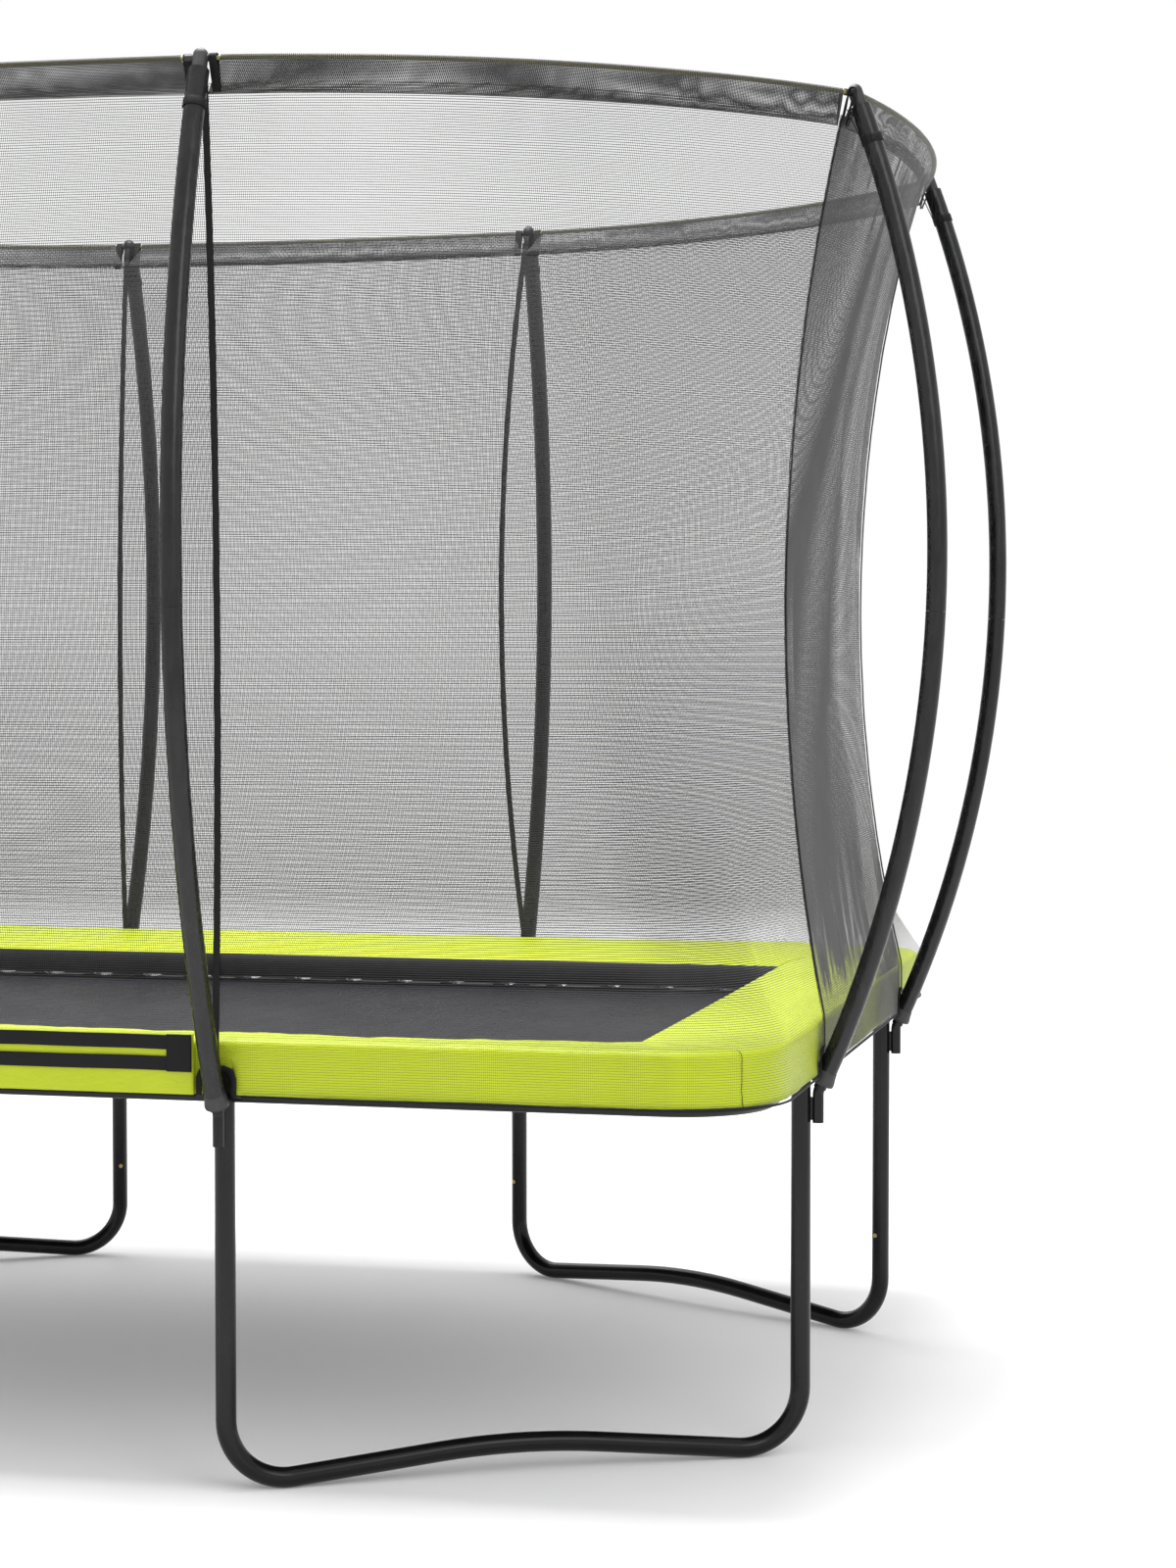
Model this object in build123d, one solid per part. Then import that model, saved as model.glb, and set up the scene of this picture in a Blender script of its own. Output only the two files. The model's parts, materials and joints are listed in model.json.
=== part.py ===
from build123d import *
from math import asin, atan2, copysign, cos, degrees, radians, sin, sinh, sqrt, tan
import os

# Rectangular backyard trampoline with a net on eight outward-bowed poles.
# Millimetres. The origin is on the ground under the middle of the mat, +X runs along the
# long side to the right, +Y to the back, +Z up.

# ---- driving dimensions ---------------------------------------------------------------

FRAME_HALF_LENGTH = 1506.0  # rail centre line of the short sides
FRAME_HALF_WIDTH = 1055.0  # rail centre line of the long sides
LONG_POST_X = 530.0  # posts on the long sides
SHORT_POST_Y = 543.0  # posts on the short sides
RAIL_Z = 735.0
RAIL_BEND = 160.0

TUBE_OD = 38.0
TUBE_WALL = 1.5
SPIGOT_GAP = 0.1
SPIGOT_LENGTH = 45.0
SCREW_D = 4.8
SCREW_LENGTH = 9.0
SCREW_HEAD_D = 9.5
SCREW_HEAD_HEIGHT = 3.0
LEG_SCREW_Z = 228.0
LEG_JOINT_Z = 192.0
SOCKET_Z = 639.0
LEG_BEND = 112.0
LEG_SLOPE = 6.0  # degrees, rise of the floor bar towards its middle
LEG_CREST = 1500.0  # radius of the floor bar's raised middle

TEE_HALF = 60.0
TEE_SCREW = 38.0  # screws on each side of a T socket's middle
STUB_OD = 21.6
STUB_BEND = 30.0
WEB_HEIGHT = 44.0
WEB_THICKNESS = 6.0
WEB_OVERLAP = 1.0

POLE_RADIUS = 2450.0
POLE_APEX = 256.0  # furthest offset outwards from the post
POLE_APEX_Z = 1720.0
POLE_FOOT_Z = 705.0
POLE_JOINT_Z = 1612.0
POLE_TOP_Z = 2561.0
POLE_TUBE_OD = 25.0
POLE_TUBE_WALL = 1.2
SLEEVE_OD = 38.0
SLEEVE_GAP = 0.2
SLEEVE_FOOT_Z = 713.0

CAP_OD = 28.0
CAP_HEIGHT = 42.0
CAP_PLUG = 30.0
RING_Z = 2583.0
ROD_D = 8.0
ARM_OD = 13.0
ARM_REACH = 28.0
ARM_STOP = 8.0  # a rod's end, from the middle of its cap
LONG_RISE = 20.0  # how far the ring bows out between posts of one long side
SHORT_RISE = 60.0
CORNER_RISE = 125.0

MAT_HALF_LENGTH = 1316.0
MAT_HALF_WIDTH = 865.0
MAT_THICKNESS = 2.0
MAT_CORNER = 40.0

LONG_SPRING_PITCH = 132.5
LONG_SPRING_STEPS = 9  # springs on each side of the middle one
SHORT_SPRING_PITCH = 135.75
SHORT_SPRING_STEPS = 6
SPRING_OD = 19.0
SPRING_WIRE = 3.2
COIL_START = 22.0  # from the V ring's bar
COIL_END = 127.0
HOOK_GAP = 1.2
HOOK_BEND = 3.0  # centre-line radius of the bends between a hook and the coil
RAIL_HOOK_DEPTH = 12.5  # the hook's drop, short of the rail's centre line
RAIL_HOOK_DROP = 9.0
RING_WIRE = 4.0
RING_REACH = 30.0  # the V ring's bar, outwards from the mat edge
RING_HALF_WIDTH = 18.0
RING_CORNER = 6.0
SEAM_GAP = 0.4
SLOT_WIDTH = 6.0
SLOT_HEIGHT = 12.0

PAD_OPENING_HALF_LENGTH = 1223.0
PAD_OPENING_HALF_WIDTH = 786.0
PAD_OVERHANG = 36.0  # skirt's outer face, outwards from the rail centre line
PAD_CORNER = 196.0
PAD_TOP_OUTER_Z = 834.0
PAD_TOP_INNER_Z = 808.0
PAD_UNDER_Z = 764.0
SKIRT_BOTTOM_Z = 734.0
SKIRT_THICKNESS = 4.0
FOLD_RADIUS = 12.0
PAD_GAP = 2.0
NOTCH_WIDTH = 56.0
NOTCH_DEPTH = 24.0
NOTCH_TOP_Z = 778.0

FLAP_HALF_WIDTH = 470.0
FLAP_TOP_Z = 842.0
FLAP_THICKNESS = 4.0
FLAP_GAP = 2.0

NET_THICKNESS = 1.5
NET_TOP_Z = 2575.0
NET_BOTTOM_Z = 730.0
NET_FOOT = 42.0  # net's middle surface at its foot, outwards from the rail centre line
NET_GATHER = 120.0  # how far the net draws in at half height
NET_HEAD_INSET = 20.0  # the straps' heads, inwards from the ring
NET_DECAY = 3.0  # how fast the shapes of the net's foot and head die away with height
NET_LEVELS = 6
NET_COLUMNS = 6
NET_BEND_COLUMNS = 6  # more columns, round the bend of the pad's corner
NET_SEAM = 2.0  # a panel's side edge stops this short of its strap's middle
STRAP_WIDTH = 13.0
STRAP_THICKNESS = 1.5
STRAP_CLEARANCE = 1.5

ZIP_BOTTOM_Z = 950.0
ZIP_CLEARANCE = 7.0
SLIDER_WIDTH = 14.0
SLIDER_DEPTH = 6.0
SLIDER_HEIGHT = 20.0
TAB_WIDTH = 10.0
TAB_THICKNESS = 2.0
TAB_LENGTH = 42.0

# ---- worked-out sizes -----------------------------------------------------------------

TUBE_R = TUBE_OD / 2
BORE_R = TUBE_R - TUBE_WALL
SPIGOT_R = BORE_R - SPIGOT_GAP
SPRING_SPAN = FRAME_HALF_LENGTH - MAT_HALF_LENGTH - RING_REACH  # V ring bar to rail centre line
POSTS = {
    # name: (post position, outward direction)
    "front_right": ((LONG_POST_X, -FRAME_HALF_WIDTH), (0, -1)),
    "right_front": ((FRAME_HALF_LENGTH, -SHORT_POST_Y), (1, 0)),
    "right_back": ((FRAME_HALF_LENGTH, SHORT_POST_Y), (1, 0)),
    "back_right": ((LONG_POST_X, FRAME_HALF_WIDTH), (0, 1)),
    "back_left": ((-LONG_POST_X, FRAME_HALF_WIDTH), (0, 1)),
    "left_back": ((-FRAME_HALF_LENGTH, SHORT_POST_Y), (-1, 0)),
    "left_front": ((-FRAME_HALF_LENGTH, -SHORT_POST_Y), (-1, 0)),
    "front_left": ((-LONG_POST_X, -FRAME_HALF_WIDTH), (0, -1)),
}
CORNERS = {
    "front_right": (1, -1),
    "back_right": (1, 1),
    "back_left": (-1, 1),
    "front_left": (-1, -1),
}


def save(solids, name):
    """Write one sub-part, a solid or a group of separate solids, to its own file."""
    shape = solids if not isinstance(solids, list) else Compound(children=solids)
    export_step(shape, f"parts/{name}.step")


def ring_face(plane, outer, inner):
    """Annular face: the section of a tube."""
    return plane * (Circle(outer) - Circle(inner))


def tube(start, end, outer, inner):
    """Straight tube between two points."""
    axis = Vector(*end) - Vector(*start)
    plane = Plane(origin=start, z_dir=axis)
    return extrude(ring_face(plane, outer, inner), axis.length)


def rod(start, end, radius):
    """Straight solid bar between two points."""
    axis = Vector(*end) - Vector(*start)
    return extrude(Plane(origin=start, z_dir=axis) * Circle(radius), axis.length)


def bent(arc, section):
    """Bar of constant section along an arc. The section is a function of its plane."""
    radial = arc @ 0 - arc.arc_center
    axis = Axis(arc.arc_center, radial.cross(arc % 0))
    turn = degrees(arc.length / arc.radius)
    return revolve(section(Plane(origin=arc @ 0, z_dir=arc % 0)), axis, turn)


def post_plane(name):
    """Frame of one post: local X runs outwards, local Y up, the origin is on the ground."""
    (x, y), (dx, dy) = POSTS[name]
    return Plane(origin=(x, y, 0), x_dir=(dx, dy, 0), z_dir=(dy, -dx, 0))


def spigot(shoulder, direction):
    """Swaged end of a tube: a narrower tube that starts inside it and stands out of it."""
    reach = direction * SPIGOT_LENGTH
    inner = SPIGOT_R - TUBE_WALL
    hidden = tube(shoulder - reach, shoulder, BORE_R, inner)
    return hidden + tube(shoulder, shoulder + reach, SPIGOT_R, inner)


def chain(*pieces):
    """One wire through touching edges."""
    return Wire([edge for piece in pieces for edge in piece.edges()])


def mirrored(solid, sx, sy):
    """The solid, mirrored across the middle planes where a sign is negative."""
    if sx < 0:
        solid = mirror(solid, Plane.YZ)
    if sy < 0:
        solid = mirror(solid, Plane.XZ)
    return solid


# ---- slots and screws -----------------------------------------------------------------


def spring_sites():
    """(rail point, inward direction) of every spring, all at rail height."""
    sites = []
    for side in (-1, 1):
        for step in range(-LONG_SPRING_STEPS, LONG_SPRING_STEPS + 1):
            point = Vector(step * LONG_SPRING_PITCH, side * FRAME_HALF_WIDTH, RAIL_Z)
            sites.append((point, Vector(0, -side, 0)))
        for step in range(-SHORT_SPRING_STEPS, SHORT_SPRING_STEPS + 1):
            point = Vector(side * FRAME_HALF_LENGTH, step * SHORT_SPRING_PITCH, RAIL_Z)
            sites.append((point, Vector(-side, 0, 0)))
    return sites


def screw_sites():
    """(point on the tube's axis, direction of the head) of every screw."""
    sites = []
    for sx, sy in CORNERS.values():
        along = Vector(sx * (FRAME_HALF_LENGTH - LONG_POST_X), sy * (SHORT_POST_Y - FRAME_HALF_WIDTH), 0)
        inward = Vector(-sx * abs(along.Y), -sy * abs(along.X), 0).normalized()
        sites.append((Vector(sx * LONG_POST_X, sy * FRAME_HALF_WIDTH, LEG_SCREW_Z), inward))
        sites.append((Vector(sx * FRAME_HALF_LENGTH, sy * SHORT_POST_Y, LEG_SCREW_Z), inward))
    for (x, y), (dx, dy) in POSTS.values():
        for side in (-1, 1):
            point = Vector(x - dy * side * TEE_SCREW, y + dx * side * TEE_SCREW, RAIL_Z)
            sites.append((point, Vector(-dx, -dy, 0)))
    return sites


def screw(point, direction):
    """Self-tapping screw with a domed head, in a tube whose axis passes through point."""
    seat = point + direction * TUBE_R
    body = rod(seat, seat + direction * SCREW_HEAD_HEIGHT, SCREW_HEAD_D / 2)
    return body + rod(seat - direction * SCREW_LENGTH, seat, SCREW_D / 2)


def holds(box, point):
    """Whether a bounding box holds a point."""
    inside_x = box.min.X < point.X < box.max.X
    inside_y = box.min.Y < point.Y < box.max.Y
    inside_z = box.min.Z < point.Z < box.max.Z
    return inside_x and inside_y and inside_z


def machined(solid):
    """The solid with the spring slots and screw holes that fall on it."""
    box = solid.bounding_box()
    for point, direction in spring_sites():
        if holds(box, point):
            turn = degrees(atan2(direction.Y, direction.X))
            wall = point + direction * TUBE_R
            slot = Box(TUBE_R, SLOT_WIDTH, SLOT_HEIGHT)
            solid -= Pos(wall.X, wall.Y, wall.Z) * Rot(0, 0, turn) * slot
    for point, direction in screw_sites():
        if holds(box, point):
            solid -= rod(point, point + direction * TUBE_OD, SCREW_D / 2)
    return solid


# ---- legs -----------------------------------------------------------------------------


def floor_leg():
    """Bent floor leg of the back right corner, with a swaged spigot at each end."""
    start = Vector(LONG_POST_X, FRAME_HALF_WIDTH, 0)
    end = Vector(FRAME_HALF_LENGTH, SHORT_POST_Y, 0)
    span = (end - start).length
    along = (end - start).normalized()
    plane = Plane(origin=start, x_dir=along, z_dir=along.cross(Vector(0, 0, 1)))
    slope = radians(LEG_SLOPE)
    knee = radians(45 - LEG_SLOPE / 2)
    low_z = TUBE_R + LEG_BEND
    bend_middle = (LEG_BEND - LEG_BEND * cos(knee), low_z - LEG_BEND * sin(knee))
    bend_end = (LEG_BEND + LEG_BEND * sin(slope), low_z - LEG_BEND * cos(slope))
    crest_x = span / 2 - LEG_CREST * sin(slope)
    crest_z = bend_end[1] + (crest_x - bend_end[0]) * tan(slope)
    top_z = crest_z + LEG_CREST * (1 - cos(slope))
    half = chain(
        Line((0, LEG_JOINT_Z), (0, low_z)),
        ThreePointArc((0, low_z), bend_middle, bend_end),
        Line(bend_end, (crest_x, crest_z)),
    )
    crest = ThreePointArc((crest_x, crest_z), (span / 2, top_z), (span - crest_x, crest_z))
    path = plane * chain(half, crest, mirror(half, Plane.YZ.offset(span / 2)))
    top = start + Vector(0, 0, LEG_JOINT_Z)
    leg = sweep(ring_face(Plane(origin=top, z_dir=(0, 0, -1)), TUBE_R, BORE_R), path=path)
    for foot in (start, end):
        leg += spigot(foot + Vector(0, 0, LEG_JOINT_Z), Vector(0, 0, 1))
    return machined(leg)


def upper_leg(name):
    """Upright leg tube with a swaged spigot that enters the socket above."""
    (x, y), _ = POSTS[name]
    top = Vector(x, y, SOCKET_Z)
    leg = tube((x, y, LEG_JOINT_Z), top, TUBE_R, BORE_R)
    return machined(leg + spigot(top, Vector(0, 0, 1)))


# ---- top frame ------------------------------------------------------------------------


def straight_rail(middle, along, half_length):
    """Straight rail between two sockets, with a swaged spigot at each end."""
    reach = along * (half_length - TEE_HALF)
    rail = tube(middle - reach, middle + reach, TUBE_R, BORE_R)
    rail += spigot(middle + reach, along)
    rail += spigot(middle - reach, -along)
    return machined(rail)


def corner_rail():
    """Bent rail of the back right corner, from the long-side socket to the short-side one."""
    start = Vector(LONG_POST_X + TEE_HALF, FRAME_HALF_WIDTH, RAIL_Z)
    bend_start = Vector(FRAME_HALF_LENGTH - RAIL_BEND, FRAME_HALF_WIDTH, RAIL_Z)
    bend_end = Vector(FRAME_HALF_LENGTH, FRAME_HALF_WIDTH - RAIL_BEND, RAIL_Z)
    end = Vector(FRAME_HALF_LENGTH, SHORT_POST_Y + TEE_HALF, RAIL_Z)
    inset = RAIL_BEND * (1 - sqrt(0.5))
    bend_middle = Vector(FRAME_HALF_LENGTH - inset, FRAME_HALF_WIDTH - inset, RAIL_Z)
    path = chain(
        Line(start, bend_start),
        ThreePointArc(bend_start, bend_middle, bend_end),
        Line(bend_end, end),
    )
    rail = sweep(ring_face(Plane(origin=start, z_dir=(1, 0, 0)), TUBE_R, BORE_R), path=path)
    rail += spigot(start, Vector(-1, 0, 0))
    rail += spigot(end, Vector(0, -1, 0))
    return machined(rail)


def tee(name):
    """T socket: a sleeve for the rails, a socket for the leg and an outer stub for the pole."""
    (x, y), (dx, dy) = POSTS[name]
    plane = post_plane(name)
    reach = Vector(-dy, dx, 0) * TEE_HALF
    centre = Vector(x, y, RAIL_Z)
    socket = Vector(x, y, SOCKET_Z)
    body = rod(centre - reach, centre + reach, TUBE_R)
    body += rod(socket, centre, TUBE_R)
    body -= rod(centre - reach, centre + reach, BORE_R)
    body -= rod(socket, centre, BORE_R)
    lean = radians(pole_lean(POLE_FOOT_Z))
    foot = Vector(pole_offset(POLE_FOOT_Z), POLE_FOOT_Z)
    stub_x = foot.X - STUB_BEND * (1 - cos(lean))
    stub_top = foot.Y - STUB_BEND * sin(lean)
    bend_x = stub_x + STUB_BEND * (1 - cos(lean / 2))
    bend_y = stub_top + STUB_BEND * sin(lean / 2)
    path = plane * chain(
        Line((stub_x, SOCKET_Z), (stub_x, stub_top)),
        ThreePointArc((stub_x, stub_top), (bend_x, bend_y), (foot.X, foot.Y)),
        Line((foot.X, foot.Y), (foot.X + SPIGOT_LENGTH * sin(lean), foot.Y + SPIGOT_LENGTH * cos(lean))),
    )
    root = socket + Vector(dx, dy, 0) * stub_x
    body += sweep(Plane(origin=root, z_dir=(0, 0, 1)) * Circle(STUB_OD / 2), path=path)
    web_start = TUBE_R - WEB_OVERLAP
    web = Pos((web_start + stub_x) / 2, (SOCKET_Z + stub_top) / 2) * Rectangle(
        stub_x - web_start, WEB_HEIGHT
    )
    body += extrude(plane * web, WEB_THICKNESS / 2, both=True)
    return machined(body)


# ---- poles ----------------------------------------------------------------------------


def pole_offset(z):
    """How far outwards from the post the pole's centre line is at height z."""
    return POLE_APEX - POLE_RADIUS + sqrt(POLE_RADIUS**2 - (z - POLE_APEX_Z) ** 2)


def pole_lean(z):
    """The pole's lean at height z, in degrees, positive where it leans outwards."""
    return degrees(asin((POLE_APEX_Z - z) / POLE_RADIUS))


def pole_piece(name, low_z, high_z, outer, inner):
    """One curved tube on the pole's centre line."""
    plane = post_plane(name)
    heights = (low_z, (low_z + high_z) / 2, high_z)
    arc = ThreePointArc(*[plane.from_local_coords((pole_offset(z), z, 0)) for z in heights])
    return bent(arc, lambda start: ring_face(start, outer, inner))


def pole_steel(name):
    """The two steel halves of one pole. The upper one's swaged end enters the lower one."""
    outer = POLE_TUBE_OD / 2
    inner = outer - POLE_TUBE_WALL
    swage = inner - SPIGOT_GAP
    swage_bore = swage - POLE_TUBE_WALL
    lower = pole_piece(name, POLE_FOOT_Z, POLE_JOINT_Z, outer, inner)
    upper = pole_piece(name, POLE_JOINT_Z, POLE_TOP_Z, outer, inner)
    swage_low = POLE_JOINT_Z - SPIGOT_LENGTH
    swage_high = POLE_JOINT_Z + SPIGOT_LENGTH
    upper += pole_piece(name, swage_low, swage_high, swage, swage_bore)
    upper += pole_piece(name, POLE_JOINT_Z, swage_high, inner, swage_bore)
    return [lower, upper]


def sleeve(name, low_z, high_z):
    """Foam sleeve on one half of a pole."""
    return pole_piece(name, low_z, high_z, SLEEVE_OD / 2, POLE_TUBE_OD / 2 + SLEEVE_GAP)


def cap_centre(name):
    """Where the ring passes through a pole's cap."""
    return post_plane(name).from_local_coords(Vector(pole_offset(RING_Z), RING_Z, 0))


def pole_cap(name, arms):
    """Domed cap with a plug in the pole and an arm along each direction in arms."""
    plane = post_plane(name)
    _, (dx, dy) = POSTS[name]
    lean = radians(pole_lean(POLE_TOP_Z))
    up = Vector(dx * sin(lean), dy * sin(lean), cos(lean))
    base = plane.from_local_coords(Vector(pole_offset(POLE_TOP_Z), POLE_TOP_Z, 0))
    shoulder = base + up * (CAP_HEIGHT - CAP_OD / 2)
    plug_r = POLE_TUBE_OD / 2 - POLE_TUBE_WALL - SPIGOT_GAP
    cap = rod(base, shoulder, CAP_OD / 2)
    cap += Pos(shoulder.X, shoulder.Y, shoulder.Z) * Sphere(CAP_OD / 2)
    cap += rod(base - up * CAP_PLUG, base, plug_r)
    centre = cap_centre(name)
    for direction in arms:
        cap += rod(centre, centre + direction * ARM_REACH, ARM_OD / 2)
    for direction in arms:
        hole_start = centre + direction * ARM_STOP
        cap -= rod(hole_start, centre + direction * (ARM_REACH + 1), ROD_D / 2 + SLEEVE_GAP)
    return cap


# ---- top ring -------------------------------------------------------------------------


def rise_between(first, second):
    """How far the ring bows out between two posts."""
    sides = {first.split("_")[0], second.split("_")[0]}
    if sides <= {"front"} or sides <= {"back"}:
        return LONG_RISE
    if len(sides) == 1:
        return SHORT_RISE
    return CORNER_RISE


def outward_normal(start, end):
    """Level direction square to the line from start to end, away from the object's middle."""
    chord = (end - start).normalized()
    normal = Vector(chord.Y, -chord.X, 0)
    return normal if normal.dot((start + end) / 2) > 0 else -normal


def ring_arc(first, second):
    """Centre line of the ring between two caps."""
    start = cap_centre(first)
    end = cap_centre(second)
    middle = (start + end) / 2 + outward_normal(start, end) * rise_between(first, second)
    return ThreePointArc(start, middle, end)


def ring_rod(first, second):
    """Glass-fibre rod of the top ring, which ends inside the arms of its two caps."""
    arc = ring_arc(first, second)
    inset = (ARM_STOP + 1) / arc.length
    path = ThreePointArc(arc @ inset, arc @ 0.5, arc @ (1 - inset))
    return bent(path, lambda start: start * Circle(ROD_D / 2))


# ---- mat and springs ------------------------------------------------------------------


def mat():
    """Woven jumping mat."""
    outline = RectangleRounded(2 * MAT_HALF_LENGTH, 2 * MAT_HALF_WIDTH, MAT_CORNER)
    return Pos(0, 0, RAIL_Z) * extrude(outline, MAT_THICKNESS / 2, both=True)


def v_ring():
    """Wire ring sewn to the mat edge, lying flat, with the bar that a spring pulls on at X = 0."""
    length = RING_REACH - RING_WIRE / 2 - SEAM_GAP
    outline = (Pos(-length / 2, 0) * RectangleRounded(length, 2 * RING_HALF_WIDTH, RING_CORNER)).wire()
    return sweep(Plane(origin=outline @ 0, z_dir=outline % 0) * Circle(RING_WIRE / 2), path=outline)


def spring():
    """Coil spring along X, with a hook round the V ring's bar at X = 0 and one in the rail."""
    hook_r = (RING_WIRE + SPRING_WIRE) / 2 + HOOK_GAP
    wire_r = SPRING_WIRE / 2
    body = tube((COIL_START, 0, 0), (COIL_END, 0, 0), SPRING_OD / 2, SPRING_OD / 2 - SPRING_WIRE)
    body += rod((COIL_START, 0, 0), (COIL_START + SPRING_WIRE, 0, 0), SPRING_OD / 2)
    body += rod((COIL_END - SPRING_WIRE, 0, 0), (COIL_END, 0, 0), SPRING_OD / 2)

    bend_centre = Vector(sqrt((hook_r + HOOK_BEND) ** 2 - HOOK_BEND**2), 0, HOOK_BEND)
    bend_start = Vector(bend_centre.X, 0, 0)
    hook_start = bend_centre.normalized() * hook_r
    midway = ((bend_start - bend_centre) + (hook_start - bend_centre)).normalized()
    bend = ThreePointArc(bend_start, bend_centre + midway * HOOK_BEND, hook_start)
    hook = ThreePointArc(hook_start, (0, 0, hook_r), (-hook_r, 0, 0))
    body += rod(bend_start, (COIL_START, 0, 0), wire_r)
    body += bent(bend, lambda start: start * Circle(wire_r))
    body += bent(hook, lambda start: start * Circle(wire_r))

    hook_x = SPRING_SPAN - RAIL_HOOK_DEPTH
    corner = Vector(hook_x - HOOK_BEND, 0, -HOOK_BEND)
    quarter = HOOK_BEND * sqrt(0.5)
    middle = corner + Vector(quarter, 0, quarter)
    turn = ThreePointArc((corner.X, 0, 0), middle, (hook_x, 0, corner.Z))
    body += rod((COIL_END, 0, 0), (corner.X, 0, 0), wire_r)
    body += bent(turn, lambda start: start * Circle(wire_r))
    body += rod((hook_x, 0, corner.Z), (hook_x, 0, -RAIL_HOOK_DROP), wire_r)
    return body


def at_springs(solid):
    """A copy of the solid at each spring site, with X = 0 on the V ring's bar."""
    copies = []
    for point, direction in spring_sites():
        bar = point + direction * SPRING_SPAN
        turn = degrees(atan2(-direction.Y, -direction.X))
        copies.append(Pos(bar.X, bar.Y, bar.Z) * Rot(0, 0, turn) * solid)
    return copies


# ---- pads -----------------------------------------------------------------------------


def pad_outline(inset):
    """Outline of the pad ring, moved in from the skirt's outer face."""
    length = 2 * (FRAME_HALF_LENGTH + PAD_OVERHANG - inset)
    width = 2 * (FRAME_HALF_WIDTH + PAD_OVERHANG - inset)
    return RectangleRounded(length, width, PAD_CORNER - inset)


def pad_ring():
    """The whole spring cover: a sloping foam pad with a skirt, notched at the posts."""
    thickness = PAD_TOP_OUTER_Z - PAD_UNDER_Z
    foam = extrude(Pos(0, 0, PAD_UNDER_Z) * pad_outline(0), thickness)
    foam = fillet(foam.faces().sort_by(Axis.Z)[-1].edges(), FOLD_RADIUS)
    opening = Rectangle(2 * PAD_OPENING_HALF_LENGTH, 2 * PAD_OPENING_HALF_WIDTH)
    foam -= extrude(opening, FLAP_TOP_Z)
    outer = Rectangle(2 * (FRAME_HALF_LENGTH + PAD_OVERHANG), 2 * (FRAME_HALF_WIDTH + PAD_OVERHANG))
    dish = loft([Pos(0, 0, PAD_TOP_INNER_Z) * opening, Pos(0, 0, PAD_TOP_OUTER_Z) * outer])
    foam -= dish
    skirt_height = PAD_UNDER_Z - SKIRT_BOTTOM_Z
    skirt_band = pad_outline(0) - pad_outline(SKIRT_THICKNESS)
    skirt = extrude(Pos(0, 0, SKIRT_BOTTOM_Z) * skirt_band, skirt_height)
    ring = foam + skirt
    for name in POSTS:
        plane = post_plane(name)
        height = NOTCH_TOP_Z - SKIRT_BOTTOM_Z
        notch = Pos(PAD_OVERHANG, SKIRT_BOTTOM_Z + height / 2) * Rectangle(NOTCH_DEPTH, height)
        ring -= extrude(plane * notch, NOTCH_WIDTH / 2, both=True)
    return ring


def pad_sector(side):
    """Prism that holds one side's share of the pad ring, between the mitres."""
    inner_x = PAD_OPENING_HALF_LENGTH
    inner_y = PAD_OPENING_HALF_WIDTH
    outer_x = FRAME_HALF_LENGTH + 2 * PAD_OVERHANG
    slope = (FRAME_HALF_WIDTH + PAD_OVERHANG - inner_y) / (FRAME_HALF_LENGTH + PAD_OVERHANG - inner_x)
    outer_y = inner_y + (outer_x - inner_x) * slope
    gap = PAD_GAP / 2
    if side == "right":
        inner, outer = (inner_x - 1, inner_y - gap), (outer_x, outer_y - gap)
        shape = [inner, outer, (outer[0], -outer[1]), (inner[0], -inner[1])]
    else:
        inner, outer = (inner_x - gap, inner_y - 1), (outer_x - gap, outer_y)
        shape = [inner, outer, (-outer[0], outer[1]), (-inner[0], inner[1])]
    return extrude(make_face(Polyline(*shape, close=True)), FLAP_TOP_Z)


def entrance_flap():
    """Flap that hangs over the foot of the net at the entrance."""
    y = -(FRAME_HALF_WIDTH + NET_FOOT + FLAP_GAP + FLAP_THICKNESS / 2)
    height = FLAP_TOP_Z - SKIRT_BOTTOM_Z
    return Pos(0, y, SKIRT_BOTTOM_Z + height / 2) * Box(2 * FLAP_HALF_WIDTH, FLAP_THICKNESS, height)


# ---- net ------------------------------------------------------------------------------


def gather_direction(name):
    """Level direction in which the net's two panels pull a strap: the bisector of the panels."""
    names = list(POSTS)
    place = names.index(name)
    here = cap_centre(name)
    before = (cap_centre(names[place - 1]) - here).normalized()
    after = (cap_centre(names[(place + 1) % len(names)]) - here).normalized()
    return (before + after).normalized()


def strap_point(name, t):
    """The net's middle surface at a post. t is 0 at the pad's edge and 1 at the ring."""
    (x, y), (dx, dy) = POSTS[name]
    foot = Vector(x, y, 0) + Vector(dx, dy, 0) * NET_FOOT
    head_offset = pole_offset(RING_Z) - NET_HEAD_INSET
    head = Vector(x, y, 0) + Vector(dx, dy, 0) * head_offset
    drawn = gather_direction(name) * (NET_GATHER * 4 * t * (1 - t))
    return foot + (head - foot) * t + drawn


def foot_line(first, second):
    """Line that the net's foot follows between two posts, round the outside of the pad."""
    start = strap_point(first, 0)
    end = strap_point(second, 0)
    if rise_between(first, second) != CORNER_RISE:
        return chain(Line(start, end))
    corner_x = copysign(FRAME_HALF_LENGTH + NET_FOOT, start.X)
    corner_y = copysign(FRAME_HALF_WIDTH + NET_FOOT, start.Y)
    bend = PAD_CORNER + NET_FOOT - PAD_OVERHANG
    return FilletPolyline(start, (corner_x, corner_y, 0), end, radius=bend)


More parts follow.
